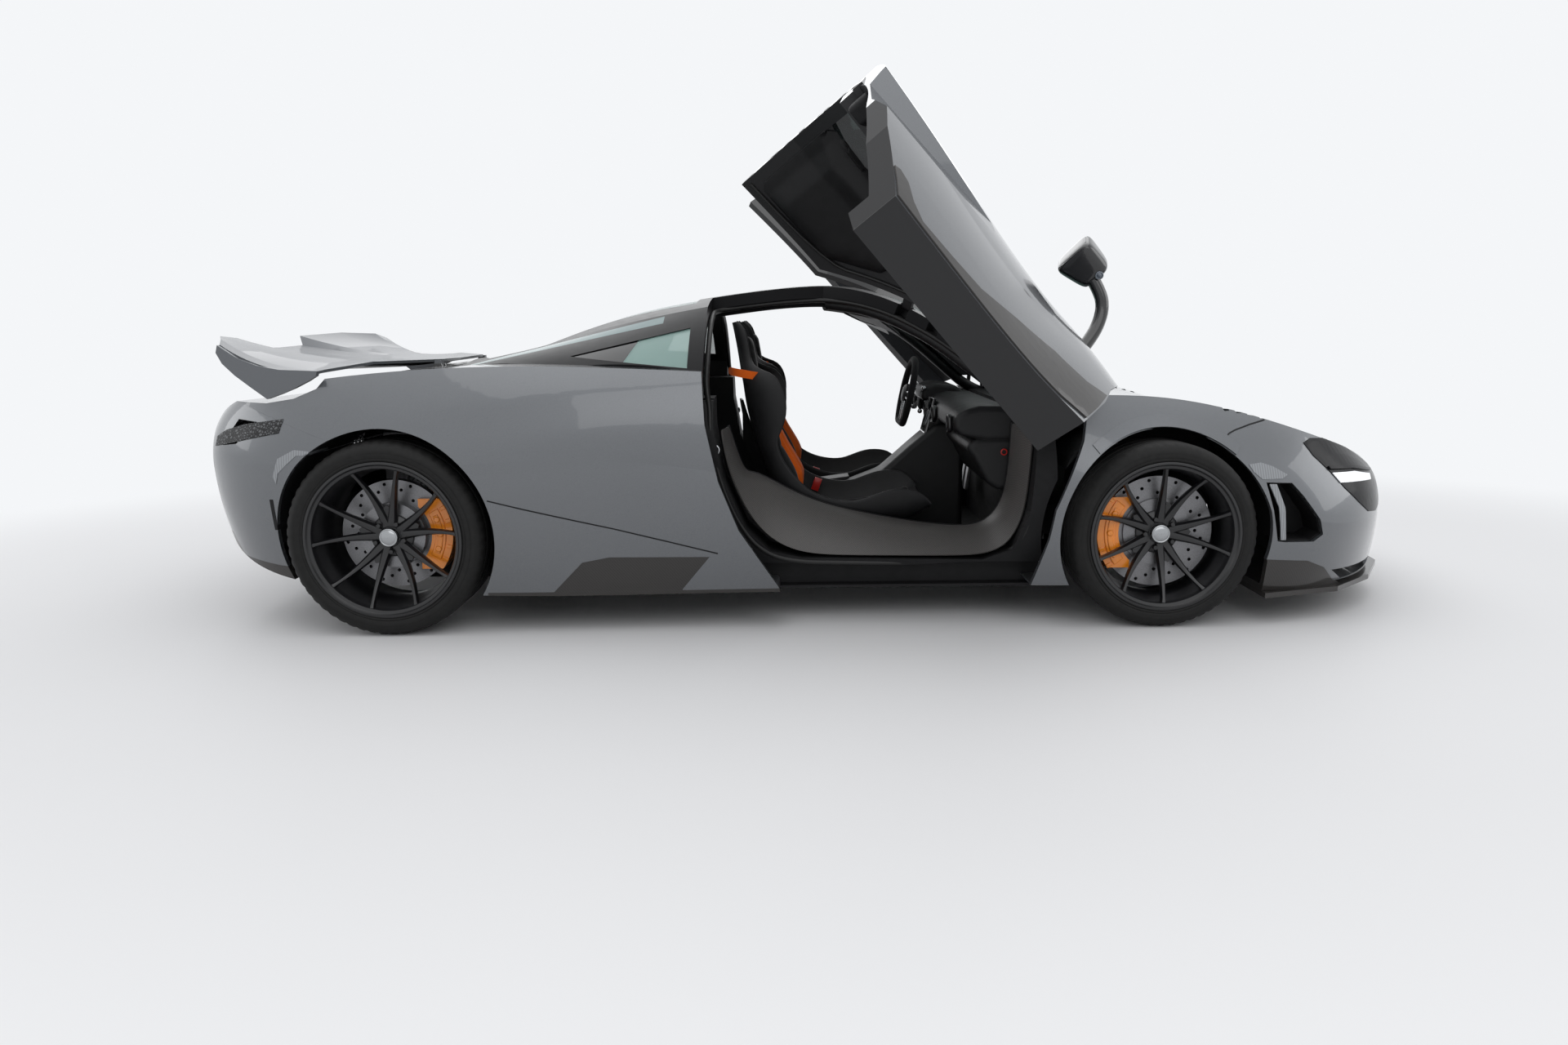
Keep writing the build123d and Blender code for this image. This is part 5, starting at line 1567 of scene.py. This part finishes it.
class COUPE_OT_rims(bpy.types.Operator):
    """Forged rims with ten thin spokes in pairs"""
    bl_idname = "coupe.rims"
    bl_label = "Rims"

    def execute(self, context):
        for end, a in AXLES.items():
            half, lip = a["half"], a["lip"]
            seat = lip - 0.016
            barrel = lathe("barrel", [(seat - 0.009, -half + 0.008), (lip - 0.007, -half - 0.0008),
                    (lip, -half - 0.0008), (lip, -half + 0.006), (seat, -half + 0.016), (seat, half - 0.016),
                    (lip, half - 0.006), (lip + 0.0005, half), (lip - 0.002, half + 0.0009),
                    (lip - 0.008, half + 0.0009), (lip - 0.0105, half - 0.003), (lip - 0.013, half - 0.006),
                    (seat - 0.006, half - 0.009), (seat - 0.0085, half - 0.013), (seat - 0.010, half - 0.040),
                    (seat - 0.016, half - 0.075), (seat - 0.024, 0.010), (seat - 0.024, -0.030),
                    (seat - 0.009, -half + 0.040)], (a["x"], a["y"], a["z"]), 120, 30)
            y_tip, dish = half - 0.010, 0.066
            y_root = y_tip - dish
            phase = math.radians(FIRST_SPOKE[end])
            bars = []
            for k in range(5):
                centre = phase + k * math.radians(72)
                for lean in (-1, 1):
                    bars.append(rim_spoke(a, 0.036, seat - 0.004, centre + lean * math.radians(13.0),
                            centre + lean * math.radians(18.0), y_root, y_tip))
            hub = lathe("hub", [(0.0005, y_root - 0.004), (0.034, y_root - 0.004), (0.040, y_root - 0.008),
                    (0.052, y_root - 0.014), (0.066, y_root - 0.017), (0.074, y_root - 0.022),
                    (0.076, y_root - 0.030), (0.076, y_root - 0.034), (0.0005, y_root - 0.034)],
                    (a["x"], a["y"], a["z"]), 80, 40)
            webs = []
            for k in range(5):   # thin web that ties each pair near the hub
                centre = phase + k * math.radians(72)
                outline = []
                for r, w in ((0.040, -16.0), (0.075, -11.0), (0.104, -5.0), (0.110, 0.0), (0.104, 5.0),
                             (0.075, 11.0), (0.040, 16.0)):
                    t = centre + math.radians(w)
                    outline.append((a["x"] + r * math.sin(t), a["y"] + y_root - 0.010 + 0.10 * (r - 0.04),
                                    a["z"] + r * math.cos(t)))
                webs.append(slab("web", outline, (0, -0.016, 0), 30))
            rim = joined("rim_new_" + end + "_left", [barrel, hub] + bars + webs)
            done(tidy_normals(rim), 32)
            pair(rim, "wheel_" + end + "_left", "satin_black", "wheel_black", ["rim_" + end + "_left"])
        return {"FINISHED"}


class COUPE_OT_calipers(bpy.types.Operator):
    """Ribbed outer faces and bridges of the brake calipers"""
    bl_idname = "coupe.calipers"
    bl_label = "Calipers"

    def execute(self, context):
        for end, a in AXLES.items():
            disc_low, disc_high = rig.box("disc_" + end + "_left")
            disc_r = (disc_high.z - disc_low.z) / 2
            mid = math.radians(-90 if end == "front" else 90)
            span = math.radians(38 if end == "front" else 30)
            face = a["y"] - 0.010 + 0.040
            parts = []

            def arc(r0, r1, y0, y1, start, stop, n, bevel):
                pts = [(r0, start + (stop - start) * i / n) for i in range(n + 1)]
                pts += [(r1, stop + (start - stop) * i / n) for i in range(n + 1)]
                obj = slab("arc", [(a["x"] + r * math.sin(t), y0, a["z"] + r * math.cos(t)) for r, t in pts],
                           (0, y1 - y0, 0), 30)
                round_edges(obj, bevel, 2, 40)
                return obj

            parts.append(arc(disc_r - 0.046, disc_r - 0.008, face - 0.004, face + 0.005, mid - span,
                             mid + span, 14, 0.003))
            parts.append(arc(disc_r - 0.036, disc_r - 0.018, face + 0.003, face + 0.009, mid - span * 0.8,
                             mid + span * 0.8, 12, 0.0025))
            for k in (-0.92, -0.45, 0.45, 0.92):
                t = mid + span * k
                parts.append(arc(disc_r - 0.004, disc_r + 0.018, face - 0.075, face + 0.004, t - 0.035,
                                 t + 0.035, 3, 0.003))
            for k in (-0.62, 0.0, 0.62):
                t = mid + span * k
                parts.append(lathe("port", [(0.0004, 0.0085), (0.0085, 0.0080), (0.0105, 0.006),
                        (0.0110, -0.004), (0.0004, -0.004)], (a["x"] + (disc_r - 0.027) * math.sin(t),
                        face + 0.004, a["z"] + (disc_r - 0.027) * math.cos(t)), 24))
            cover = joined("caliper_face_" + end + "_left", parts)
            done(cover, 35)
            pair(cover, "steer_left" if end == "front" else "chassis", "caliper", "caliper_orange")
        return {"FINISHED"}


# stations of a seat shell from the headrest to the knees: centre (x, z), edge (x, z), half width at the edge
SEAT_RIBS = [
    ((-0.284, 1.058), (-0.270, 1.058), 0.090), ((-0.278, 1.030), (-0.244, 1.040), 0.112),
    ((-0.266, 0.965), (-0.228, 0.968), 0.126), ((-0.258, 0.912), (-0.222, 0.915), 0.142),
    ((-0.252, 0.872), (-0.196, 0.888), 0.196), ((-0.245, 0.835), (-0.130, 0.866), 0.244),
    ((-0.240, 0.790), (-0.100, 0.815), 0.258), ((-0.231, 0.735), (-0.092, 0.745), 0.260),
    ((-0.218, 0.680), (-0.106, 0.684), 0.252), ((-0.201, 0.620), (-0.132, 0.632), 0.242),
    ((-0.176, 0.545), (-0.112, 0.560), 0.241), ((-0.150, 0.465), (-0.066, 0.500), 0.246),
    ((-0.118, 0.372), (-0.022, 0.452), 0.252), ((-0.062, 0.288), (0.040, 0.420), 0.258),
    ((0.040, 0.262), (0.110, 0.404), 0.261), ((0.130, 0.268), (0.175, 0.404), 0.262),
    ((0.210, 0.281), (0.228, 0.424), 0.262), ((0.280, 0.298), (0.290, 0.446), 0.260),
    ((0.340, 0.312), (0.362, 0.446), 0.256), ((0.400, 0.345), (0.410, 0.428), 0.248),
    ((0.436, 0.378), (0.440, 0.392), 0.236),
]
# from the middle to the edge: share of the half width, share of the way to the edge
RIB_SHAPE = [
    (0.0, 0.0), (0.28, 0.0), (0.56, 0.02), (0.76, 0.10), (0.88, 0.28),
    (0.95, 0.55), (0.985, 0.80), (1.0, 1.0),
]


class COUPE_OT_seat_shells(bpy.types.Operator):
    """Bucket seat shells with high wings, piped edges and a foot"""
    bl_idname = "coupe.seat_shells"
    bl_label = "Seat shells"

    def execute(self, context):
        across = [(-s, g) for s, g in reversed(RIB_SHAPE[1:])] + list(RIB_SHAPE)
        rows = [[(cx + (ex - cx) * g, SEAT_Y + s * half, cz + (ez - cz) * g) for s, g in across]
                for (cx, cz), (ex, ez), half in SEAT_RIBS]
        shell = thicken(swell(sheet("seat_shell_left", rows), 2), 0.013, 0)
        round_edges(shell, 0.0045, 3, 60)
        foot = slab("foot", [(-0.040, SEAT_Y - 0.185, 0.170), (0.300, SEAT_Y - 0.185, 0.170),
                (0.300, SEAT_Y - 0.185, 0.250), (0.280, SEAT_Y - 0.185, 0.268),
                (-0.020, SEAT_Y - 0.185, 0.262), (-0.040, SEAT_Y - 0.185, 0.250)], (0, 0.37, 0), 30)
        round_edges(foot, 0.008, 3)
        shell = joined("seat_shell_left", [shell, foot])
        done(shell, 60)
        rolls = []
        for sign in (-1, 1):
            edge = [(ex, SEAT_Y + sign * half, ez) for _, (ex, ez), half in SEAT_RIBS]
            rolls.append(tube("piping", edge, 0.0058, resolution=3, rings=2))
        piping = joined("seat_piping_left", rolls)
        done(piping, 60)
        pair(shell, "chassis", "leather", "cabin_black", ["seat_shells"])
        pair(piping, "chassis", "leather", "cabin_black")
        return {"FINISHED"}


# sill cover from the rear: inner edge (x, z), outer foot (x, z)
SILL_ROWS = [
    ((-0.300, 0.690), (-0.318, 0.690)), ((-0.262, 0.560), (-0.296, 0.560)),
    ((-0.236, 0.520), (-0.262, 0.470)), ((-0.200, 0.516), (-0.222, 0.385)),
    ((-0.146, 0.490), (-0.150, 0.300)), ((-0.057, 0.440), (-0.055, 0.256)),
    ((0.047, 0.398), (0.045, 0.243)), ((0.196, 0.362), (0.190, 0.240)),
    ((0.376, 0.328), (0.376, 0.237)), ((0.500, 0.314), (0.510, 0.237)),
    ((0.590, 0.312), (0.606, 0.240)), ((0.650, 0.338), (0.682, 0.268)),
    ((0.694, 0.400), (0.726, 0.340)), ((0.712, 0.480), (0.750, 0.420)),
    ((0.722, 0.590), (0.764, 0.590)), ((0.725, 0.690), (0.768, 0.690)),
]


class COUPE_OT_sills(bpy.types.Operator):
    """Bulged sill covers with a fine check and a black inner edge"""
    bl_idname = "coupe.sills"
    bl_label = "Sill covers"

    def execute(self, context):
        inner_y, width, steps = 0.648, 0.156, 6
        inner = [edge for edge, _ in SILL_ROWS]
        rows = []
        for (ix, iz), (ox, oz) in SILL_ROWS:
            shares = [k / steps for k in range(steps + 1)]
            rows.append([(ix + (ox - ix) * t ** 1.7, inner_y + width * t ** 0.8, iz + (oz - iz) * t ** 1.7)
                         for t in shares])
        cover = thicken(swell(sheet("sill_cover_left", rows), 2), 0.006, 50)
        rows = [[(x, inner_y, z), (x, 0.644, max(0.20, z - 0.10)), (x, 0.641, 0.19)] for x, z in inner]
        wall = thicken(sheet("sill_wall_left", rows), 0.005, 40)
        edge = tube("sill_edge_left", [(x, inner_y, z + 0.001) for x, z in inner], 0.0055)
        pair(cover, "chassis", "sill_check", "carbon", ["sill_covers"])
        for piece in (wall, edge):
            pair(piece, "chassis", "leather", "cabin_black")
        return {"FINISHED"}


def form(name, outline, y0, y1, bevel, segments=4):
    """Rounded block with a side outline (x, z) between two y planes."""
    obj = slab(name, [(x, y0, z) for x, z in outline], (0, y1 - y0, 0), 30)
    round_edges(obj, bevel, segments, 20)
    return done(obj, 50)


class COUPE_OT_dash(bpy.types.Operator):
    """Dashboard with a padded roll, binnacle, centre screen, vents and the sloping console"""
    bl_idname = "coupe.dash"
    bl_label = "Dashboard"

    def execute(self, context):
        side = 0.637
        roll = form("dash_roll", [(0.556, 0.738), (0.520, 0.712), (0.516, 0.668), (0.548, 0.640),
                (0.640, 0.622), (0.768, 0.620), (0.768, 0.728), (0.690, 0.748), (0.610, 0.750)], -side, side,
                0.024)
        lower = form("dash_lower", [(0.600, 0.636), (0.560, 0.600), (0.592, 0.560), (0.640, 0.470),
                (0.680, 0.440), (0.768, 0.436), (0.768, 0.640)], -side + 0.004, side - 0.004, 0.022)
        hood = form("binnacle", [(0.505, 0.768), (0.500, 0.712), (0.560, 0.700), (0.690, 0.740),
                (0.650, 0.776), (0.560, 0.786)], 0.215, 0.485, 0.016)
        body = joined("dashboard_roll", [roll, lower, hood])
        wear(done(body, 50), "chassis", "leather", "cabin_black", ["dashboard"])
        console = form("centre_console", [(-0.160, 0.170), (-0.165, 0.318), (-0.120, 0.352), (0.020, 0.372),
                (0.180, 0.396), (0.300, 0.442), (0.420, 0.548), (0.520, 0.632), (0.640, 0.660),
                (0.640, 0.170)], -0.088, 0.088, 0.020)
        tray = form("console_tray", [(-0.030, 0.372), (0.140, 0.394), (0.170, 0.408), (0.170, 0.418),
                (-0.030, 0.392)], -0.052, 0.052, 0.004)
        wear(joined("centre_console", [console, tray]), "chassis", "leather", "cabin_black")
        glass = slab("centre_screen", [(0.470, -0.075, 0.566), (0.470, 0.075, 0.566), (0.516, 0.075, 0.742),
                (0.516, -0.075, 0.742)], (0.012, 0, -0.003), 30)
        round_edges(glass, 0.004, 3)
        wear(done(glass, 40), "chassis", "screen", "gloss_black")
        dial = slab("dial_screen", [(0.503, 0.258, 0.716), (0.503, 0.442, 0.716), (0.512, 0.442, 0.766),
                (0.512, 0.258, 0.766)], (0.010, 0, 0), 30)
        round_edges(dial, 0.003, 2)
        wear(done(dial, 40), "chassis", "screen", "gloss_black")
        vents = []
        for y in (-0.560, -0.130, 0.130, 0.560):
            ring = lathe("vent", [(0.030, -0.006), (0.034, -0.002), (0.036, 0.004), (0.034, 0.010),
                    (0.030, 0.012), (0.028, 0.004)], (0, 0, 0), 32)
            vents.append(put(ring, (0.514, y, 0.682), 90))
        wear(done(joined("dash_vents", vents), 40), "chassis", "satin_black", "black_plastic")
        pedals = [form("pedal", [(0.722, 0.300), (0.706, 0.304), (0.724, 0.424), (0.738, 0.420)], y - 0.026,
                y + 0.026, 0.004) for y in (0.300, 0.395)]
        wear(joined("pedals", pedals), "chassis", "forged", "arm_metal")
        # red ring on each end of the dash
        for name, sign in SIDES:
            ring = lathe("end_ring_" + name, [(0.010, -0.003), (0.0125, -0.001), (0.0125, 0.003),
                    (0.010, 0.004), (0.008, 0.0)], (0.700, sign * 0.640, 0.583), 28)
            wear(ring, "chassis", "red_plastic", "lamp_red")
        return {"FINISHED"}


class COUPE_OT_door_latches(bpy.types.Operator):
    """Latch boxes on the doors' rear ends and the strikers on the body"""
    bl_idname = "coupe.door_latches"
    bl_label = "Latches"

    def execute(self, context):
        block = form("latch_box_left", [(-0.340, 0.806), (-0.340, 0.742), (-0.330, 0.728), (-0.276, 0.730),
                (-0.256, 0.770), (-0.276, 0.812)], 0.775, 0.856, 0.008, 3)
        hang(block, "moulded", "black_plastic")
        for name, sign in SIDES:
            hoop = tube("striker_" + name, [(-0.352, sign * 0.842, 0.640), (-0.328, sign * 0.850, 0.640),
                    (-0.322, sign * 0.852, 0.628), (-0.328, sign * 0.850, 0.612),
                    (-0.352, sign * 0.842, 0.612)], 0.005)
            wear(hoop, "chassis", "silver", "arm_metal")
        return {"FINISHED"}


# ---------------------------------------------------------------- studio
class COUPE_OT_stage(bpy.types.Operator):
    """Pale floor, soft lights and the camera"""
    bl_idname = "coupe.stage"
    bl_label = "Studio"

    def execute(self, context):
        p = context.scene.coupe_studio
        floor = primitive("plane", size=60.0, location=(0, 0, 0))
        floor.name = "studio_floor"
        f = Finish("studio_floor", p.floor, 0.55)
        f.set("Base Color", f.blend(f.noise(1.3, 3.0), Vector(p.floor) * 0.985, Vector(p.floor)))
        x, y, _ = f.axes()
        # past an oval round the car the floor shines as the background does, for what looks straight at it
        away = ((x * x) / 12.0 + (y * y) / 7.0).ramp(0.8, 2.4)
        light = f.add("ShaderNodeLightPath")
        rays = [light.out("Is %s Ray" % kind) for kind in ("Camera", "Transmission", "Glossy")]
        unlit = away * rays[0].high(rays[1]).high(rays[2])
        glow = f.add("ShaderNodeEmission", None, {"Color": STUDIO_WHITE, "Strength": 0.95}).node
        mix = f.add("ShaderNodeMixShader", None, {0: unlit}).node
        output = next(n for n in f.tree.nodes if n.type == "OUTPUT_MATERIAL")
        f.tree.links.new(f.shader.outputs[0], mix.inputs[1])
        f.tree.links.new(glow.outputs[0], mix.inputs[2])
        f.tree.links.new(mix.outputs[0], output.inputs["Surface"])
        floor.data.materials.append(f.material)
        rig.stage(floor)

        world = bpy.data.worlds.new("studio")
        context.scene.world = world
        world.use_nodes = True
        tree = world.node_tree
        back = tree.nodes["Background"]
        path = tree.nodes.new("ShaderNodeLightPath")
        seen = path.outputs["Is Camera Ray"]
        for key in ("Is Transmission Ray", "Is Glossy Ray"):
            either = tree.nodes.new("ShaderNodeMath")
            either.operation = "MAXIMUM"
            tree.links.new(seen, either.inputs[0])
            tree.links.new(path.outputs[key], either.inputs[1])
            seen = either.outputs[0]
        # strength as light, and as what is seen directly, through glass or mirrored
        level = tree.nodes.new("ShaderNodeMapRange")
        tree.links.new(seen, level.inputs["Value"])
        level.inputs["To Min"].default_value = 0.52
        level.inputs["To Max"].default_value = 0.95
        tree.links.new(level.outputs[0], back.inputs["Strength"])
        back.inputs["Color"].default_value = STUDIO_WHITE

        # name, place, aim, width, length, power
        for name, place, aim, w, l, power in (
                ("overhead", (0.0, 0.0, 5.6), (0, 0, 0), 7.0, 10.0, 190),
                ("near_side", (1.2, -6.5, 4.4), (0, 0, 0.5), 8.0, 4.0, 90),
                ("far_side", (-1.0, 6.5, 4.4), (0, 0, 0.6), 8.0, 4.0, 90),
                ("nose", (7.0, -1.0, 3.0), (1, 0, 0.6), 4.0, 3.0, 50),
                ("tail", (-7.0, -1.0, 3.0), (-1, 0, 0.6), 4.0, 3.0, 50)):
            lamp = bpy.data.lights.new(name, "AREA")
            lamp.shape, lamp.size, lamp.size_y, lamp.energy = "RECTANGLE", w, l, power
            obj = bpy.data.objects.new(name, lamp)
            obj.location = place
            obj.rotation_euler = (Vector(aim) - Vector(place)).to_track_quat("-Z", "Y").to_euler()
            context.scene.collection.objects.link(obj)

        cam = bpy.data.cameras.new("camera")
        cam.lens, cam.sensor_width, cam.sensor_fit = p.lens, 36.0, "HORIZONTAL"
        cam.clip_end = 200.0
        eye = bpy.data.objects.new("camera", cam)
        yaw, pitch, roll = math.radians(-0.23), math.radians(10.40), math.radians(-0.67)
        ahead = Vector((math.sin(yaw) * math.cos(pitch), math.cos(yaw) * math.cos(pitch), -math.sin(pitch)))
        right = Vector((math.cos(yaw), -math.sin(yaw), 0.0))
        up = right.cross(ahead)
        right, up = (math.cos(roll) * right + math.sin(roll) * up,
                     -math.sin(roll) * right + math.cos(roll) * up)
        place = Matrix((right, up, -ahead)).transposed().to_4x4()
        place.translation = (-0.087, -4.654, 1.068)      # where the camera stands
        eye.matrix_world = place
        context.scene.collection.objects.link(eye)
        context.scene.camera = eye
        context.scene.view_settings.view_transform = "Standard"
        return {"FINISHED"}


OPERATORS = [COUPE_OT_finishes, COUPE_OT_tyres, COUPE_OT_rims, COUPE_OT_calipers, COUPE_OT_hubs,
             COUPE_OT_mirrors,
             COUPE_OT_seat_pads, COUPE_OT_door_trim, COUPE_OT_seals, COUPE_OT_nose, COUPE_OT_tail,
             COUPE_OT_belts,
             COUPE_OT_steering, COUPE_OT_cabin, COUPE_OT_seat_shells, COUPE_OT_sills, COUPE_OT_dash,
             COUPE_OT_door_latches, COUPE_OT_stage]


class COUPE_PT_panel(bpy.types.Panel):
    """Everything the coupe is dressed with"""
    bl_idname = "COUPE_PT_panel"
    bl_label = "Coupe"
    bl_space_type = "VIEW_3D"
    bl_region_type = "UI"
    bl_category = "Coupe"

    def draw(self, context):
        scene = context.scene
        for group in (scene.coupe_body, scene.coupe_wheels, scene.coupe_cabin, scene.coupe_studio):
            for key in group.bl_rna.properties.keys():
                if key not in ("rna_type", "name"):
                    self.layout.prop(group, key)
        for kind in OPERATORS:
            self.layout.operator(kind.bl_idname)


CLASSES = [CoupeBody, CoupeWheels, CoupeCabin, CoupeStudio, *OPERATORS, COUPE_PT_panel]


def register():
    for kind in CLASSES:
        bpy.utils.register_class(kind)
    bpy.types.Scene.coupe_body = bpy.props.PointerProperty(type=CoupeBody)
    bpy.types.Scene.coupe_wheels = bpy.props.PointerProperty(type=CoupeWheels)
    bpy.types.Scene.coupe_cabin = bpy.props.PointerProperty(type=CoupeCabin)
    bpy.types.Scene.coupe_studio = bpy.props.PointerProperty(type=CoupeStudio)


def unregister():
    for kind in reversed(CLASSES):
        bpy.utils.unregister_class(kind)
    for key in ("coupe_body", "coupe_wheels", "coupe_cabin", "coupe_studio"):
        delattr(bpy.types.Scene, key)


def main():
    register()
    bpy.ops.object.select_all(action="DESELECT")
    for kind in OPERATORS:
        group, call = kind.bl_idname.split(".")
        getattr(getattr(bpy.ops, group), call)()
    lines = {"cad": [list(v) for v in CAD_BOX], "visual": [list(v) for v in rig.bounds()]}
    with open("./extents.json", "w") as out:
        json.dump(lines, out)


if __name__ == "__main__":
    main()
